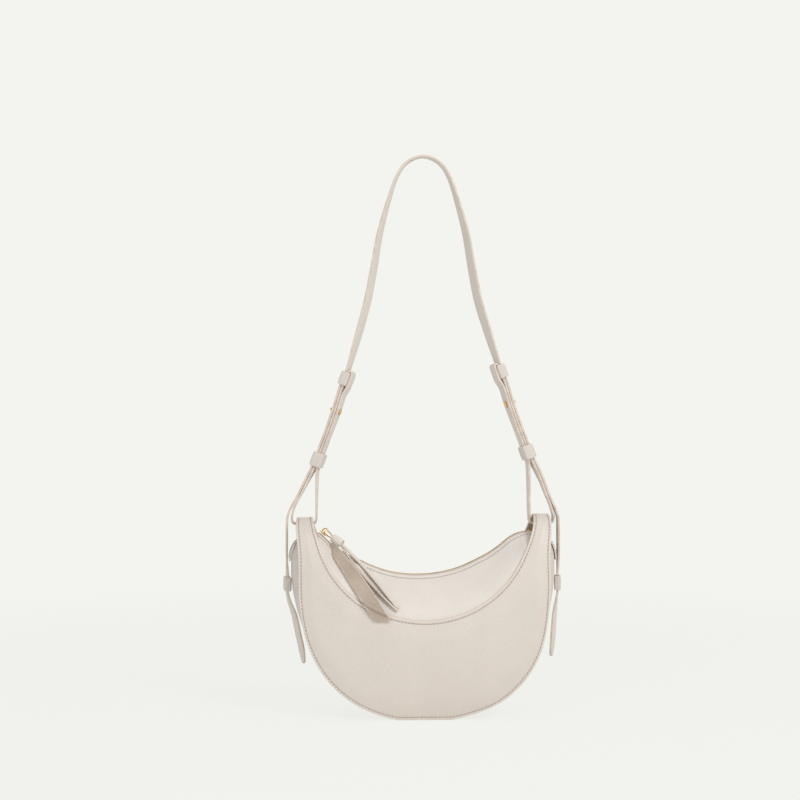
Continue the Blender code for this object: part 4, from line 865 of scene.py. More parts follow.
def gusset_grid(columns=25, low_steps=110, hood_steps=22, inward=0.0, side_gap=0.0, hood=True):
    """Gusset from one ear round the base to the other, columns from front to back. It stands out from the
    rim by a swell times 1 - share^2 across its depth, and its hood turns a quarter round over the ears."""
    rim = rim_curve()
    line = resample(rim[rim[:, 1] <= HOOD_START], np.linspace(0.0, 1.0, low_steps))
    tangent = tangents(line)
    tangent[0] = (1.0, 0.0)
    normal = joined(tangent[:, 1], -tangent[:, 0])
    inset = GUSSET_INSET * smooth_step(line[:, 1] / (15.0 * MM))
    share = np.linspace(-1.0, 1.0, columns)
    out = gusset_swell(line[:, 1])[:, None] * (1.0 - share ** 2) - inset[:, None] - inward
    wall_x = line[:, :1] + normal[:, :1] * out
    wall_z = line[:, 1:] + normal[:, 1:] * out
    keep_off = PANEL_THICKNESS + LAYER_GAP + side_gap
    rows = [joined(wall_x, share * depth_within(wall_z, keep_off), wall_z)]
    if hood:
        angle = np.linspace(0.0, math.pi / 2.0, hood_steps + 1)[1:, None]
        under = YOKE_THICKNESS + LAYER_GAP
        tuck = under * smooth_step(angle / (math.pi / 2.0) * 2.5)
        end_y, end_z = roof_inside(ROOF_HALF, under, np.abs(share))
        end_y = end_y * np.sign(share)
        hood_x = wall_x[-1] - (wall_x[-1] - HOOD_END) * (1.0 - np.cos(angle))
        hood_z = wall_z[-1] + (end_z - wall_z[-1]) * np.sin(angle)
        wide_y = share * depth_within(hood_z, keep_off + tuck)
        hood_y = wide_y + (end_y - wide_y) * smooth_step(np.sin(angle))
        rows.append(joined(hood_x, hood_y, hood_z))
    return mirrored(np.concatenate(rows))


def facing(direction, grid):
    """The grid, with its columns turned round where that makes its normals follow a direction."""
    middle = grid_normals(grid)[grid.shape[0] // 2, grid.shape[1] // 2]
    return grid if float(middle @ np.asarray(direction, float)) > 0.0 else grid[:, ::-1]


def seam_on(direction, grid, distance, inset, first=True):
    """The line on a grid at a distance in from its first or last column, with normals that follow a
    direction. distance grows from that edge."""
    normal = grid_normals(grid)
    if not first:
        grid, normal, distance = grid[:, ::-1], normal[:, ::-1], distance[:, ::-1]
    order = np.maximum(np.argmax(distance >= inset, axis=1), 1)
    row = np.arange(len(grid))
    low, high = distance[row, order - 1], distance[row, order]
    t = ((inset - low) / np.maximum(high - low, 1e-9))[:, None]
    line = grid[row, order - 1] * (1.0 - t) + grid[row, order] * t
    square = unit(normal[row, order - 1] * (1.0 - t) + normal[row, order] * t)
    return line, square * np.sign((square @ np.asarray(direction, float)).sum())


def from_last(grid):
    """Distance of each point of a grid from its last column, measured along its row."""
    step = np.linalg.norm(np.diff(grid[:, ::-1], axis=1), axis=2)
    return np.concatenate([np.zeros((len(grid), 1)), np.cumsum(step, axis=1)], axis=1)[:, ::-1]


def slumped(points):
    """The soft body as it stands: its left crown sags, the scoop is stretched round below it, the zip rises
    a little beside that, and the padding swells low on the right. Each is a smooth bump of displacement."""
    x, z = points[:, 0], points[:, 2]
    sag = smooth_step((z - 150.0 * MM) / (35.0 * MM)) * smooth_step((-x - 88.0 * MM) / (24.0 * MM))
    reach = np.hypot(x, SCOOP_CENTRE - z)
    angle = np.degrees(np.arctan2(-x, SCOOP_CENTRE - z))
    pull = smooth_step((angle - 12.0) / 30.0) * smooth_step((178.0 * MM - z) / (25.0 * MM)) * (x < 0.0)
    pull = SCOOP_PULL * pull * np.exp(-((reach - SCOOP_RADIUS - 2.0 * MM) / (16.0 * MM)) ** 2)
    crest = (np.exp(-((x + 60.0 * MM) / (17.0 * MM)) ** 2)
             + 0.5 * np.exp(-((x - 50.0 * MM) / (13.0 * MM)) ** 2))
    crest = CREST_RISE * crest * smooth_step((z - zip_line(x) + 14.0 * MM) / (14.0 * MM))
    swell_x, swell_z = x / RIM_HALF_WIDTH, (z - RIM_CENTRE) / RIM_DROP
    low = smooth_step((swell_x - 0.1) / 0.45) * smooth_step((110.0 * MM - z) / (60.0 * MM))
    low = LOW_SWELL * low * smooth_step(z / (22.0 * MM)) * np.hypot(swell_x, swell_z) ** 2
    moved, reach = points.copy(), np.maximum(reach, MM)
    moved[:, 0] += pull * x / reach + low * swell_x
    moved[:, 2] += -SAG * sag + pull * (z - SCOOP_CENTRE) / reach + crest + low * swell_z
    return moved


def settle(piece, body, slot, *nodes, slump=True):
    """A finished piece rides on its body and stands for its nodes; slot is not used. What is sewn to
    the bag sags with it."""
    if body == "bag" and slump:
        flat = np.empty(3 * len(piece.data.vertices))
        piece.data.vertices.foreach_get("co", flat)
        piece.data.vertices.foreach_set("co", slumped(flat.reshape(-1, 3)).ravel())
        piece.data.update()
    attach(piece, body)
    if nodes:
        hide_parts(*nodes)


def sew(name, direction, grid, distance, inset, first, yarn=None, slot="cream_leather", **measures):
    """Stitches on the bag along a seam of a grid."""
    line, square = seam_on(direction, grid, distance, inset, first)
    settle(stitching(name, line, square, (yarn or thread,), **measures), "bag", slot)


FRONT, BACK, UP, DOWN = (0.0, -1.0, 0.0), (0.0, 1.0, 0.0), (0.0, 0.0, 1.0), (0.0, 0.0, -1.0)
SIDES = (("front", FRONT, 1.0), ("back", BACK, MIRROR_Y))
ENDS = ((-1, "left", LEFT_TAIL_PATH), (1, "right", RIGHT_TAIL_PATH))


def pinched(grid):
    """The panel with the corners of its arms drawn in where they meet over the crown, the inner ones more:
    the draw grows by a square from a depth of 25 mm to the seam."""
    x, y, z = grid[..., 0], grid[..., 1], grid[..., 2]
    t = smooth_step((z - 160.0 * MM) / (12.0 * MM)) * np.clip(1.0 - np.abs(y) / (25.0 * MM), 0.0, 1.0) ** 2
    off = np.abs(x) - (RIM_HALF_WIDTH + SCOOP_RADIUS) / 2.0
    draw = np.where(off > 0.0, 0.14, 0.30) * off
    return joined(x - np.sign(x) * draw * t, y, z)


def dress_panels():
    """Front and back saddle panels, sewn along the scoop and the rim."""
    panel, distance = panel_grid()
    panel = pinched(panel)
    for word, turn, mirror in SIDES:
        piece = slab(word + "_saddle_panel", facing(turn, panel * mirror), PANEL_THICKNESS,
                     (panel_leather, shaded_flesh_side, panel_edge), rim=0.8 * MM, steps=3)
        settle(piece, "bag", "cream_leather", word + "_panel")
        for part, first in (("scoop", True), ("rim", False)):
            sew(f"{word}_{part}_stitches", turn, panel * mirror, distance, STITCH_INSET, first)


def dress_yokes():
    """The leaning upper walls, pressed along their top stitch and rippled below it by two sines, and the
    boards that stiffen the panels."""
    yoke = skin_grid(ROOF_HALF, lambda x, bend: bend - YOKE_LAP, 150, 5, 44)
    depth = from_last(yoke)
    ripple = 0.3 * MM * np.sin(yoke[..., 0] / (19.0 * MM) + 1.1) * np.sin(depth / (14.0 * MM))
    fade = smooth_step(depth / (12.0 * MM)) * smooth_step((22.0 * MM - depth) / (8.0 * MM))
    lift = -groove(depth, TOP_STITCH, 0.3 * MM, 0.8 * MM) + ripple * fade
    yoke = yoke + front_normals(yoke) * lift[..., None]
    for word, turn, mirror in SIDES:
        piece = slab(word + "_yoke_leather", facing(turn, yoke * mirror), YOKE_THICKNESS,
                     (yoke_leather, shaded_flesh_side, panel_edge), rim=0.7 * MM, steps=3)
        settle(piece, "bag", "yoke_leather", word + "_yoke")
        sew(word + "_yoke_stitches", turn, yoke * mirror, depth, TOP_STITCH, False, seam_thread,
            "yoke_leather", pitch=3.0 * MM, length=2.2 * MM, end=9.0 * MM)

    inset = GUSSET_INSET + GUSSET_THICKNESS + 0.3 * MM
    x = np.linspace(-ROOF_HALF, ROOF_HALF, 80)[:, None]
    low, high = rim_height(x, inset), bend_height(x) - YOKE_LAP - 0.3 * MM
    z = low + (high - low) * np.linspace(0.0, 1.0, 16)[None]
    stiffener = joined(x, -skin_depth(x, z), z)
    for word, turn, mirror in SIDES:
        piece = slab(word + "_board", facing(turn, stiffener * mirror), YOKE_THICKNESS, (board,) * 3)
        settle(piece, "bag", "backing_leather", word + "_stiffener")


def dress_gusset():
    """Side and base strip with its ears, pressed along both seams."""
    grid = gusset_grid()
    across = np.abs(grid[..., 1])
    normal = grid_normals(grid)
    normal *= np.sign(np.sum(normal * (grid - (0.0, 0.0, 90.0 * MM)), axis=2, keepdims=True))
    lift = -groove(across.max(axis=1, keepdims=True) - across, STITCH_INSET, 0.25 * MM, 1.0 * MM)
    piece = slab("gusset_leather", facing(DOWN, grid + normal * lift[..., None]), GUSSET_THICKNESS,
                 (gusset_leather, shaded_flesh_side, panel_edge))
    settle(piece, "bag", "cream_leather", "gusset")


def line_with(name, node, direction, grid, mirror=1.0, thickness=LINING_THICKNESS):
    """A cloth of the lining on a grid."""
    piece = slab(name, facing(direction, grid * mirror), thickness, (lining_weave,) * 3, rim=0.3 * MM)
    settle(piece, "bag", "lining_cloth", node)
    down, across = grid[1:, :-1] - grid[:-1, :-1], grid[:-1, 1:] - grid[:-1, :-1]


def dress_lining():
    """Cloth inside the gusset and the skins, and a slip pocket at the back whose mouth sags by a sine."""
    side_gap = YOKE_THICKNESS + LINING_GAP
    keep = side_gap + LINING_THICKNESS + 0.3 * MM
    line_with("gusset_lining", "lining_gusset", DOWN,
              gusset_grid(15, 60, 0, GUSSET_THICKNESS + 0.6 * MM, keep, False))
    inset = GUSSET_INSET + GUSSET_THICKNESS + LINING_THICKNESS + 0.9 * MM
    lining = skin_grid(HOOD_END - 0.6 * MM, lambda x, bend: rim_height(x, inset), 70, 24, 12)
    lining = (lining - front_normals(lining) * side_gap)[:, :-2]
    for word, turn, mirror in SIDES:
        line_with(word + "_lining", "lining_" + word, turn, lining, mirror)
    x, z = np.meshgrid(np.linspace(-POCKET_HALF_WIDTH, POCKET_HALF_WIDTH, 50),
                       np.linspace(POCKET_LOW, POCKET_HIGH, 24), indexing="ij")
    sag = (0.8 * MM * np.sin(math.pi * (x / POCKET_HALF_WIDTH / 2.0 + 0.5))
           * smooth_step((z - 40.0 * MM) / (POCKET_HIGH - 40.0 * MM)))
    y = skin_depth(x, z) - side_gap - LINING_THICKNESS - POCKET_GAP - sag
    line_with("slip_pocket", "inner_pocket", FRONT, joined(x, y, z), 1.0, POCKET_THICKNESS)


dress_panels()
dress_yokes()
dress_gusset()
dress_lining()


# Zip


def along_zip(end, pitch):
    """Even steps of length along the zip between plus and minus an end."""
    x = np.linspace(-end, end, 900)
    run = run_length(joined(x, zip_line(x)))
    return np.interp(np.arange(pitch / 2.0, run[-1], pitch), run, x)


def dress_zip():
    """Woven tapes with a bead along their inner edges, and teeth that interlock from either side: each is
    a waisted block, narrow at its root and round at its head."""
    x = np.linspace(-TAPE_END, TAPE_END, 260)[:, None]
    y, rise = np.array([(2.1, 0.0), (2.3, 0.25), (2.6, 0.3), (2.9, 0.1), (3.4, 0.05), (4.2, 0.1),
                        (5.1, 0.2)]).T * MM
    tape = joined(x, -y, zip_line(x) + rise)
    for word, _, mirror in SIDES:
        piece = slab(word + "_tape", facing(UP, tape * mirror), 0.7 * MM, (tape_weave,) * 3, rim=0.2 * MM)
        settle(piece, "bag", "zip_tape", word + "_zip_tape")
    place = along_zip(TEETH_END, TEETH_PITCH)
    forward = unit(joined(1.0, 0.0, np.gradient(zip_line(place), place)))
    up = joined(-forward[:, 2], 0.0, forward[:, 0])
    centre = joined(place, 0.0, zip_line(place))
    reach = np.array([-2.5, -2.2, -0.9, -0.35, 0.15, 0.5])
    wide = np.array([0.30, 0.46, 0.36, 0.46, 0.50, 0.28])
    high = np.array([0.42, 0.66, 0.52, 0.66, 0.62, 0.36])
    turn = math.pi / 4.0 * (np.arange(8) + 0.5)
    ring = np.sign(circle(turn)) * np.abs(circle(turn)) ** 0.5
    block = joined(ring[:, 0] * wide[:, None], reach[:, None], ring[:, 1] * high[:, None])
    block = block.reshape(-1, 3) * MM
    block = np.vstack([block, [(0.0, reach[0] * MM, 0.0), (0.0, reach[-1] * MM, 0.0)]])
    for k, (word, way, _) in enumerate(SIDES):
        inwards = np.tile(-np.array(way), (len(place), 1))
        axes = np.stack([forward, inwards, up], axis=1)[k::2]
        piece = repeated(word + "_teeth", block, tube_faces(len(reach), len(turn)),
                         centre[k::2] + up[k::2] * TEETH_RISE, axes, (teeth_gold,))
        settle(piece, "bag", "gold_metal", word + "_zip_teeth")
    step = np.linspace(-1.0, 1.0, 9)
    for side, word, _ in ENDS:
        middle = joined(side * (STOP_PLACE + 2.0 * MM * step), 0.0, ZIP_FLAT)
        piece = carried(word + "_stop", middle, np.tile(UP, (9, 1)), np.tile(BACK, (9, 1)),
                        section(1.0 * MM, 1.9 * MM, 0.45 * MM), (plated_gold,),
                        scale=np.sqrt(1.0 - 0.35 * np.abs(step) ** 6))
        settle(piece, "bag", "gold_metal", word + "_zip_stop")


def ear_grid(side):
    """Leather ear over the zip's end: it follows the hood's middle line at a small lift, narrows towards
    the zip by a cosine and is dished across."""
    hood = gusset_grid(columns=3, hood_steps=40)
    middle = hood[hood[:, 1, 0] > 0.0][:, 1]
    middle = middle[middle[:, 2] >= HOOD_START - 1.0 * MM]
    run = np.abs(tangents(middle))
    line = middle + (LAYER_GAP + EAR_THICKNESS) * run[:, ::-1] * (1.0, 0.0, 1.0)
    t = np.linspace(0.0, 1.0, 30)
    line = resample(line[line[:, 0] >= 117.8 * MM][::-1], t)
    half = 7.0 * MM * (0.72 + 0.28 * np.sin(math.pi / 2.0 * t[:, None]) ** 0.7)
    y = half * np.linspace(-1.0, 1.0, 13)
    return joined(side * line[:, :1], y, line[:, 2:])


def dress_ears():
    """The ears over the zip's ends, sewn down along both edges."""
    for side, word, _ in ENDS:
        grid, outward = ear_grid(side), (side * 1.0, 0.0, 1.0)
        piece = slab(word + "_ear", facing(outward, grid), EAR_THICKNESS,
                     (gusset_leather, shaded_flesh_side, panel_edge), rim=0.4 * MM)
        settle(piece, "bag", "cream_leather", word + "_zip_tab")
        across = np.abs(grid[..., 1])
        distance = across.max(axis=1, keepdims=True) - across
        for end, first in (("front", True), ("back", False)):
            sew(f"{word}_ear_{end}_stitches", outward, grid, distance, 1.6 * MM, first, pitch=2.8 * MM,
                length=2.0 * MM, end=1.5 * MM)


# Strap


def lifted(points, side):
    """Nominal (distance, height, ...) points in mm, put on one side with that side's lift, in metres."""
    points = np.array(points, dtype=float)
    z = points[:, 1]
    share = smooth_step((z - 196.0) / 34.0) * (1.0 - smooth_step((z - 336.0) / 80.0))
    points[:, 1] = z * MM + side * SIDE_LIFT * share
    points[:, 0] = side * points[:, 0] * MM + TOP_LEAN * smooth_step((z - 350.0) / 90.0)
    return points


def smooth_curve(points, count):
    """Catmull-Rom curve through the points, resampled to even steps of length."""
    points = np.asarray(points, dtype=float)
    padded = np.vstack([2 * points[0] - points[1], points, 2 * points[-1] - points[-2]])
    before, start, end, after = (padded[k:len(padded) - 3 + k, None] for k in range(4))
    t = np.linspace(0.0, 1.0, 24, endpoint=False)[None, :, None]
    dense = 0.5 * (2 * start + (end - before) * t + (2 * before - 5 * start + 4 * end - after) * t ** 2
                   + (3 * start - before - 3 * end + after) * t ** 3)
    dense = np.vstack([dense.reshape(-1, points.shape[1]), points[-1:]])
    length = run_length(dense[:, :2])
    return read_off(np.linspace(0.0, length[-1], count), length, dense)


class Ribbon:
    """A strap's middle line in the plane y = 0, with a frame at every distance along it."""

    def __init__(self, points, outward):
        self.rows = smooth_curve(points, 3200)
        self.length = run_length(self.rows[:, :2])
        self.tangent = tangents(self.rows[:, :2])
        self.outward = outward

    def at_height(self, height, side):
        """Distance along the line of the place at a height on the left or right half."""
        half = np.where(self.rows[:, 0] * side > 0.0)[0]
        return self.length[half[np.argmin(np.abs(self.rows[half, 1] - height))]]

    def frame(self, distance, layer=0.0):
        """Middle, tangent, outward face direction and front edge direction; layer moves it inwards. The
        face is the line's own normal turned about it by the twist."""
        x, z, twist = np.moveaxis(read_off(distance, self.length, self.rows), -1, 0)
        tx, tz = np.moveaxis(unit(read_off(distance, self.length, self.tangent)), -1, 0)
        c, s = np.cos(np.radians(twist)), np.sin(np.radians(twist))
        nx, nz = -tz * self.outward, tx * self.outward
        face = joined(c * nx, s, c * nz)
        middle = joined(x, 0.0, z) - np.asarray(layer)[..., None] * face
        return middle, joined(tx, 0.0, tz), face, joined(s * nx, -c, s * nz)


def over_the_top(left, right):
    """The ribbon of two halves of a strap, joined at the top."""
    return Ribbon(np.concatenate([left, right[-2::-1]]), 1.0)


def keeper_band(name, middle, along, face, edge, layers, length, body, node):
    """A keeper: a leather band round a number of strap layers. Its wall's section is a rounded bar with a
    pressed line near either rim, and each point of it runs once round a rounded rectangle."""
    half_face = (layers * STACK_STEP + KEEPER_EASE) / 2.0
    half_edge = STRAP_WIDTH / 2.0 + KEEPER_EASE
    wall = section(KEEPER_WALL / 2.0, length / 2.0, 0.5 * MM, 4)
    ease = np.linspace(1.0, -1.0, 17)[1:-1] * (length / 2.0 - 0.5 * MM)
    crease = 0.16 * MM * np.exp(-((np.abs(ease) - (length / 2.0 - 1.5 * MM)) / (0.35 * MM)) ** 2)
    bulge = 0.18 * MM * (1.0 - (ease / (length / 2.0)) ** 2)
    outer = joined(KEEPER_WALL / 2.0 - crease + bulge, ease)
    # the wall's outer side lies between its last and first corners
    wall = np.concatenate([wall, outer[::-1]])
    rows = np.array([section(half_face + offset, half_edge + offset, 0.35 * MM + offset * 0.85, 7)
                     for offset in wall[:, 0] + KEEPER_WALL / 2.0])
    points = middle + rows[..., :1] * face + rows[..., 1:] * edge + wall[:, None, 1:] * along
    rim = (np.abs(wall[:, 1]) > length / 2.0 - 0.3 * MM).astype(float)
    piece = build(name, points.reshape(-1, 3), tube_faces(*rows.shape[:2], closed=True), (keeper_leather,),
                  np.repeat(rim, rows.shape[1]))
    settle(piece, body, "keeper_leather", node, slump=False)


def loop_line(strap, side, ring, keeper):
    """Middle line and front edge directions of an anchor loop, once round: up beside the strap, over the
    upper ring, back down against itself, through the crown and up again."""
    up = 1.0 if side < 0 else -1.0
    ring_top = ring + up * RING_LENGTH / 2.0
    fold = KEEPER_EASE + KEEPER_WALL / 2.0 + STRAP_THICKNESS / 2.0
    start = strap.at_height(209.0 * MM, side)
    outer = np.linspace(start, ring_top, 60)
    outer_middle, _, _, outer_edge = strap.frame(outer, STACK_STEP)
    middle, along, face, edge = strap.frame(np.array([ring_top]), STACK_STEP + fold)
    angle = np.radians(np.linspace(10.0, 170.0, 13))[:, None]
    fold_middle = middle + fold * (np.cos(angle) * face + np.sin(angle) * along * up)
    meets, leaves = ring - up * 17.0 * MM, keeper - up * (KEEPER_LENGTH / 2.0 + KEEPER_EASE)
    inner = np.linspace(ring_top, leaves, 56)
    away = smooth_step((inner - meets) * up / (ring_top - up * RING_LENGTH - meets) / up)
    deep = 2.0 * STACK_STEP + (2.0 * fold - STACK_STEP) * away
    inner_middle, _, _, inner_edge = strap.frame(inner, deep)
    run, rise = (np.insert(lifted(points, side), 1, 0.0, axis=1) for points in (INNER_RUN, OUTER_RUN))
    twist = np.radians(np.linspace(8.0, 0.0, len(run)))
    run_edge = joined(side * np.sin(twist), -np.cos(twist), 0.0)
    turn = np.radians(np.linspace(180.0, 270.0, 9))
    corner = LOOP_CORNER * joined(1.0 + np.cos(turn), 0.0, 1.0 + np.sin(turn))
    crown = np.concatenate([corner + (LOOP_INNER, 0.0, STRAP_AXIS),
                            corner[::-1] * MIRROR_X + (LOOP_OUTER, 0.0, STRAP_AXIS)])
    lower = np.concatenate([crown * (side, 1.0, 1.0), rise])
    line = np.concatenate([outer_middle, fold_middle, inner_middle, run, lower])
    edges = np.concatenate([outer_edge, np.repeat(edge, len(angle), axis=0), inner_edge, run_edge,
                            np.tile(FRONT, (len(lower), 1))])
    return closed_curve(line, edges, 260)


def closed_curve(line, edges, count):
    """A closed line and its edge directions at even steps, smoothed by a short running mean."""
    both = np.concatenate([line, edges], axis=1)
    both = np.vstack([both, both[:1]])
    run = run_length(both[:, :3])
    steps = np.linspace(0.0, run[-1], count, endpoint=False)
    both = read_off(steps, run, both)
    for _ in range(2):
        both = (np.roll(both, 1, 0) + 2.0 * both + np.roll(both, -1, 0)) / 4.0
    return both[:, :3], unit(both[:, 3:])


def stud_profile():
    """(radius, height) of a stud through three layers of strap: a domed foot, a neck and a ball."""
    reach = 1.5 * STACK_STEP + KEEPER_EASE / 2.0
    turn = np.radians(np.linspace(-50.0, 90.0, 12))
    ball = STUD_BALL * (circle(turn) + (0.0, 0.7)) + (0.0, reach)
    foot = np.array([(0.0, -0.95), (1.8, -1.0), (2.6, -0.94), (3.0, -0.76), (3.2, -0.46), (3.1, -0.15),
                     (2.8, 0.0), (1.4, 0.0), (1.3, 0.3)]) * MM - (0.0, reach)
    neck = np.array([(1.3 * MM, reach - 0.5 * MM), (1.25 * MM, reach)])
    return np.concatenate([foot, neck, ball])


def dress_strap():
    """One strap from tail to tail, past the crowns, and two loops that carry the bag on it."""
    halves = []
    for side, _, tail in ENDS:      # a tail's own twist turns the other way
        points = np.concatenate([np.array(tail)[::-1] * (1.0, 1.0, -1.0), STRAP_PATH])
        halves.append(lifted(points, side))
    whole = over_the_top(*halves)
    total = whole.length[-1]
    tip = TAIL_POINT * np.linspace(0.004, 1.0, 24) ** 1.6
    between = np.linspace(TAIL_POINT, total - TAIL_POINT, 520)[1:-1]
    stations = np.concatenate([tip, between, total - tip[::-1]])
    middle, _, face, edge = whole.frame(stations)
    near = np.clip(np.minimum(stations, total - stations) / TAIL_POINT, 0.0, 1.0)
    width = np.sqrt(1.0 - (1.0 - near) ** 2)
    profile = section(STRAP_THICKNESS / 2.0, STRAP_WIDTH / 2.0, 0.55 * MM, 3, 0.16 * MM)
    cut = (np.abs(profile[:, 1]) > STRAP_WIDTH / 2.0 - 0.5 * MM).astype(float)
    leather = carried("shoulder_strap_leather", middle, face, edge, profile, (strap_leather,), edge=cut,
                      scale=width)
    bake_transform(leather)
    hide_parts("shoulder_strap", "left_strap_tail", "right_strap_tail")

    strap = over_the_top(*(lifted(STRAP_PATH, side) for side, _, _ in ENDS))
    for side, word, tail_path in ENDS:
        ring, stud, keeper = (strap.at_height(height + side * SIDE_LIFT, side)
                              for height in (RING_Z, STUD_Z, KEEPER_Z))
        line, edges = loop_line(strap, side, ring, keeper)
        tangent = unit(np.roll(line, -1, 0) - np.roll(line, 1, 0))
        gather = 1.0 - LOOP_GATHER * smooth_step((STRAP_AXIS + 11.0 * MM - line[:, 2]) / (9.0 * MM))
        loop = carried(word + "_loop_leather", line, unit(np.cross(edges, tangent)), edges, profile,
                       (strap_leather,), closed=True, edge=cut, scale=gather)
        settle(loop, "strap", "cream_leather", word + "_anchor_loop")
        keeper_band(word + "_ring_band", *strap.frame(ring, STACK_STEP / 2.0), 2, RING_LENGTH, "strap",
                    word + "_upper_ring")
        keeper_band(word + "_slide_band", *strap.frame(keeper, STACK_STEP), 3, KEEPER_LENGTH,
                    word + "_keeper", word + "_middle_keeper")
        centre, _, square, _ = strap.frame(stud, STACK_STEP)
        piece = lathe(word + "_button_stud", centre, square, stud_profile(), (plated_gold,))
        settle(piece, "strap", "gold_metal", word + "_stud")
        tail = Ribbon(np.array([(131.0, 176.5, 0.0), *tail_path]) * (side * MM, MM, 1.0), -side * 1.0)
        held = tail.length[np.argmin(np.abs(tail.rows[:, 1] - SIDE_KEEPER_HEIGHT))]
        keeper_band(word + "_side_band", *tail.frame(held), 1, SIDE_KEEPER_LENGTH, "bag",
                    word + "_side_keeper")


dress_zip()
dress_ears()
dress_strap()


# Slider and pull


def slider_axes():
    """The parked slider's place, and its directions away from the zip and along it."""
    parked = np.array([SLIDER_X, 0.0, float(zip_circle(SLIDER_X))])
    inward = unit(np.array([ZIP_CENTRE_X, 0.0, ZIP_CENTRE_Z]) - parked)
    return parked, inward, np.array([inward[2], 0.0, -inward[0]])


def wire(name, line, count, square, radius):
    """A round gold wire along a flat line, in even steps, whose plane is square to a direction."""
    line = resample(line, np.linspace(0.0, 1.0, count))
    side = unit(np.cross(tangents(line), square))
    profile = radius * circle(2.0 * math.pi * np.arange(12) / 12.0)
    return carried(name, line, side, np.broadcast_to(square, side.shape), profile, (plated_gold,))


def dress_slider():
    """Two shield-shaped plates, domed and narrower behind, with the bail's staple on the upper. What joins
    them lies inside the teeth."""
    parked, inward, along = slider_axes()
    depth = np.array(BACK)
    u = np.linspace(-1.0, 1.0, 25)[:, None]
    v = np.linspace(-1.0, 1.0, 17)[None]
    half = SLIDER_HALF * (1.0 - 0.12 * (1.0 + u)) * (1.0 - 0.34 * np.abs(u) ** 7)
    for way, word in ((1.0, "upper"), (-1.0, "lower")):
        rise = way * (1.9 * MM + 0.22 * MM * (1.0 - v * v) * (1.0 - u * u))
        grid = (parked + (3.3 * MM * u)[..., None] * along + (half * v)[..., None] * depth
                + rise[..., None] * inward)
        piece = slab(word + "_slider_plate", facing(way * inward, grid), 0.8 * MM, (plated_gold,) * 3,
                     rim=0.3 * MM, steps=3)
        settle(piece, "slider", "gold_metal", *(["zip_slider"] if way > 0.0 else []))
    turn = np.linspace(0.0, math.pi / 2.0, 7)
    corner = BAIL_CORNER * circle(turn) + (BAIL_HALF - BAIL_CORNER, BAIL_AXIS - BAIL_CORNER)
    arch = np.vstack([(BAIL_HALF, 1.5 * MM), corner, corner[::-1] * (-1.0, 1.0), (-BAIL_HALF, 1.5 * MM)])
    line = parked + arch[:, :1] * depth + arch[:, 1:] * inward
    settle(wire("slider_bail", line, 48, along, 0.55 * MM), "slider", "gold_metal")


def link_axes():
    """The bail's bar, and the link's directions: out, across it, and square to its plane."""
    parked, inward, _ = slider_axes()
    aim = unit(np.array(LINK_AIM))
    across = unit(np.cross(BACK, aim))
    return parked + inward * BAIL_AXIS, aim, across, np.cross(aim, across)


def dress_link():
    """A wire eye round the bail's bar that runs out into two prongs, closing a little at their ends: a
    circle cut where the prongs leave it, at plus and minus half their spacing."""
    bar, aim, across, flat = link_axes()
    opening = math.asin(PRONG_HALF / EYE_RADIUS)
    turn = np.linspace(opening, 2.0 * math.pi - opening, 60)[:, None]
    ring = bar + EYE_RADIUS * (np.cos(turn) * aim + np.sin(turn) * across)
    prong = np.array([(LINK_REACH + 0.8 * MM, 1.0 * MM), (LINK_REACH - 0.8 * MM, 1.3 * MM),
                      (LINK_REACH - 2.4 * MM, PRONG_HALF)])
    one, other = (bar + prong[:, :1] * aim + way * prong[:, 1:] * across for way in (1.0, -1.0))
    piece = wire("pull_link", np.vstack([one, ring, other[::-1]]), 150, flat, 0.65 * MM)
    settle(piece, "link", "gold_metal", "pull_ring")


def face_depth(x, z):
    """How far the bag's front stands out at a place in the front view: yoke above, padded panel below,
    with room for its padding."""
    top, bend = zip_line(x), bend_height(x)
    t = np.clip((z - bend) / (top - bend), 0.0, 1.0)
    lean = ZIP_SEAM + (skin_depth(x, bend) - ZIP_SEAM) * (1.0 - t ** LEAN_POWER)
    return np.where(z > bend, lean, half_depth(z) + pillow(x, z) + PULL_CLEARANCE)


def face_normal(x, z):
    """Square to the bag's front: its depth's slopes over 4 mm either way."""
    reach = 4.0 * MM
    slope_x = (face_depth(x + reach, z) - face_depth(x - reach, z)) / (2.0 * reach)
    slope_z = (face_depth(x, z + reach) - face_depth(x, z - reach)) / (2.0 * reach)
    return unit(joined(-slope_x, -1.0, -slope_z))


def tongue_line(start, tip, shape, bow=0.0, across=(0.0,)):
    """Middle line of one strip from start to tip, (x, y, z), clear of the bag's face by the shape's second
    column, and its half width, the third; the first is the share of its length. bow is how far its middle
    stands off a straight line in the front view, and across the places over its width that keep clear."""
    shape = np.asarray(shape)
    t = np.linspace(0.0, 1.0, 110)
    clear, half = (np.interp(t, shape[:, 0], shape[:, k]) * MM for k in (1, 2))
    swing = bow * np.sin(math.pi * t)
    way = unit(np.array([tip[0] - start[0], tip[1] - start[2]]))
    x = start[0] + (tip[0] - start[0]) * t - way[1] * swing
    z = start[2] + (tip[1] - start[2]) * t + way[0] * swing
    touch = [face_depth(x - share * half * way[1], z + share * half * way[0]) for share in across]
    y = -np.max(touch, axis=0) - clear
    y = start[1] + (y - start[1]) * smooth_step(t / 0.14)
    for values in (y, half):
        for _ in range(10):
            values[1:-1] = (values[:-2] + 2.0 * values[1:-1] + values[2:]) / 4.0
    return joined(x, y, z), half


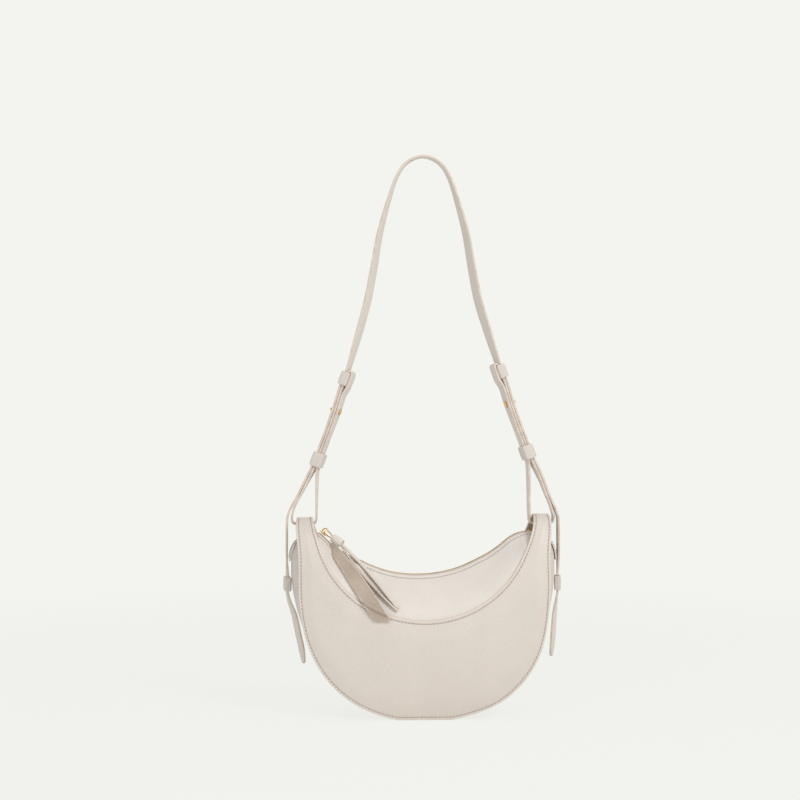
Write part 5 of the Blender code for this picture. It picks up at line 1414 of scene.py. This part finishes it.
def dress_wrap(pivot, aim):
    """Rolled leather: a spiral whose radius grows by one thickness a turn, carried along the roll's axis
    and a little fuller in its middle."""
    one = unit(np.cross(aim, BACK))
    two = np.cross(aim, one)
    turn = np.linspace(0.0, WRAP_TURN, 130)[None]
    reach = np.linspace(0.0, 1.0, 26)[:, None]
    radius = WRAP_RADIUS - (WRAP_THICKNESS + 0.06 * MM) * (turn.max() - turn) / (2.0 * math.pi)
    radius = radius + 0.2 * MM * np.sin(math.pi * reach) - 0.35 * MM * np.abs(2.0 * reach - 1.0) ** 10
    angle = (turn + 0.9)[..., None]
    grid = (pivot + aim * (WRAP_START + WRAP_LENGTH * reach)[..., None]
            + radius[..., None] * (np.cos(angle) * one + np.sin(angle) * two))
    middle = grid[13, 65] - pivot
    if float(grid_normals(grid)[13, 65] @ (middle - aim * float(middle @ aim))) < 0.0:
        grid = grid[::-1]
    # the roll's outer face takes the paler yoke leather as painted light, for its top turned up to the
    # lamps
    piece = slab("rolled_wrap", grid, WRAP_THICKNESS, (yoke_leather, shaded_flesh_side, strap_edge), rim=0.25 * MM)
    settle(piece, "tassel", "cream_leather", "pull_wrap")


def dress_tongues():
    """The pull's three strips. The wide one lies flesh side out, a tan darkened partly as painted shade,
    and takes the print of the scoop's edge beneath it: a ridge along that edge and a dent beside it. The
    narrow two stand on edge, back to back, faced with the paler yoke leather as painted light."""
    bar, link_aim = link_axes()[:2]
    pivot = bar + link_aim * LINK_REACH
    aim = unit(np.array(WRAP_AIM))
    dress_wrap(pivot, aim)
    end = pivot + aim * (WRAP_LENGTH - 0.5 * MM)
    middle, half = tongue_line(WIDE_START, WIDE_TIP, WIDE_SHAPE, 1.3 * MM, (-1.0, -0.5, 0.0, 0.5, 1.0))
    along = tangents(middle)
    across = unit(np.cross(FRONT, along))
    share = np.linspace(-1.0, 1.0, 25)
    t = np.linspace(0.0, 1.0, len(middle))[:, None]
    grid = (middle[:, None] + across[:, None] * (half[:, None] * share)[..., None]
            + along[:, None] * (4.2 * MM * t ** 4 * share)[..., None])
    past = np.hypot(grid[..., 0], SCOOP_CENTRE - grid[..., 2]) - SCOOP_RADIUS
    printed = PRINT_RIDGE * np.exp(-((past + 0.2 * MM) / (0.9 * MM)) ** 2)
    printed -= PRINT_DENT * np.exp(-((past - 2.0 * MM) / (1.1 * MM)) ** 2)
    grid[..., 1] -= printed + 0.5 * MM * share ** 2 * np.sin(math.pi * t)
    # the face is the pull's flesh side, a tan darkened partly as painted shade
    piece = slab("wide_strip", facing(FRONT, grid), TONGUE_THICKNESS,
                 (shaded_pull_flesh, strap_leather, strap_edge), rim=0.35 * MM, steps=3)
    settle(piece, "tassel", "cream_leather", "wide_tongue")
    share = np.linspace(-1.0, 1.0, 11)
    side = unit(np.cross(face_normal(end[:1], end[2:]), aim))[0]
    for word, tip, off, lean, bow in NARROW_STRIPS:
        middle, half = tongue_line(end + side * off, tip, NARROW_SHAPE, bow)
        along = tangents(middle)
        edge = lean * side + FRONT
        edge = unit(edge - (along @ edge)[:, None] * along)
        grid = middle[:, None] + edge[:, None] * (half[:, None] * share)[..., None]
        wave = 0.3 * MM * np.sin(np.linspace(0.0, 7.0, len(middle)))[:, None] * share
        grid += np.cross(along, edge)[:, None] * wave[..., None]
        # the faces take the paler yoke leather as painted light; the backs take the pull's flesh side,
        # partly painted shade
        piece = slab(word + "_strip", facing((1.0, 0.0, 1.0), grid), TONGUE_THICKNESS,
                     (yoke_leather, shaded_pull_flesh, strap_edge), rim=0.35 * MM)
        settle(piece, "tassel", "cream_leather", word + "_tongue")


dress_slider()
dress_link()
dress_tongues()


# Stage


BACKGROUND = (243, 244, 239)
SHADOW_SHARE = 0.12     # of the floor's lit shade near the bag, which keeps the soft shadow
ROOM_LIGHT = 0.60
FLOOR_HALF = 6.0
CAMERA_PLACE, CAMERA_TARGET = (-0.095, -1.538, 0.302), (-0.0222, 0.0, 0.302)
VIEW_HALF_ANGLE = math.radians(14.07)
LAMP_TARGET = (0.0, 0.0, 0.15)


def pale_ground():
    """Floor that shows the background's colour to the camera, with the shadow's share near the bag."""
    finish = Finish("pale_floor", 0.95)
    x, y, _ = finish.axes()
    near = (x * x + y * y).between(1.4, 0.12)
    finish.wire(Base_Color=finish.tint(finish.noise(3.0, 1.0), BACKGROUND, shade(BACKGROUND, 0.995)))
    finish.backdrop(finish.shader.outputs["BSDF"], "ShaderNodeEmission", BACKGROUND, "Material Output",
                    1.0 - near * SHADOW_SHARE)
    return finish.material


def aimed(name, data, place, target):
    """An object at a place that looks at a target."""
    made = bpy.data.objects.new(name, data)
    made.location = place
    made.rotation_mode = "QUATERNION"
    made.rotation_quaternion = (Vector(target) - Vector(place)).to_track_quat("-Z", "Y")
    bpy.context.scene.collection.objects.link(made)
    return made


def soft_lamp(name, place, size, power, colour):
    """A round area lamp that looks at the bag."""
    data = bpy.data.lights.new(name, "AREA")
    data.shape = "DISK"
    data.size = size
    data.energy = power
    data.color = colour
    aimed(name, data, place, LAMP_TARGET)


def set_stage():
    """Floor, room, two soft lamps and the camera."""
    corners = [(x * FLOOR_HALF, y * FLOOR_HALF, 0.0) for x, y in ((-1, -1), (1, -1), (1, 1), (-1, 1))]
    build("floor", corners, [np.array([[0, 1, 2, 3]])], (pale_ground(),), shell=False)
    world = bpy.data.worlds.new("pale_room")
    bpy.context.scene.world = world
    world.use_nodes = True
    room = world.node_tree.nodes["Background"]
    room.inputs["Color"].default_value = (0.98, 0.99, 1.0, 1.0)
    room.inputs["Strength"].default_value = ROOM_LIGHT
    Nodes(world.node_tree).backdrop(room.outputs[0], "ShaderNodeBackground", BACKGROUND, "World Output")
    soft_lamp("window", (1.1, -1.5, 1.5), 0.9, 19.0, (1.0, 0.995, 0.985))
    soft_lamp("fill", (-1.4, -1.3, 0.7), 1.4, 4.5, (0.98, 0.985, 1.0))

    data = bpy.data.cameras.new("camera")
    data.sensor_width = 36.0
    data.lens = data.sensor_width / 2.0 / math.tan(VIEW_HALF_ANGLE)
    bpy.context.scene.camera = aimed("camera", data, CAMERA_PLACE, CAMERA_TARGET)
    bpy.context.scene.view_settings.view_transform = "Standard"


set_stage()
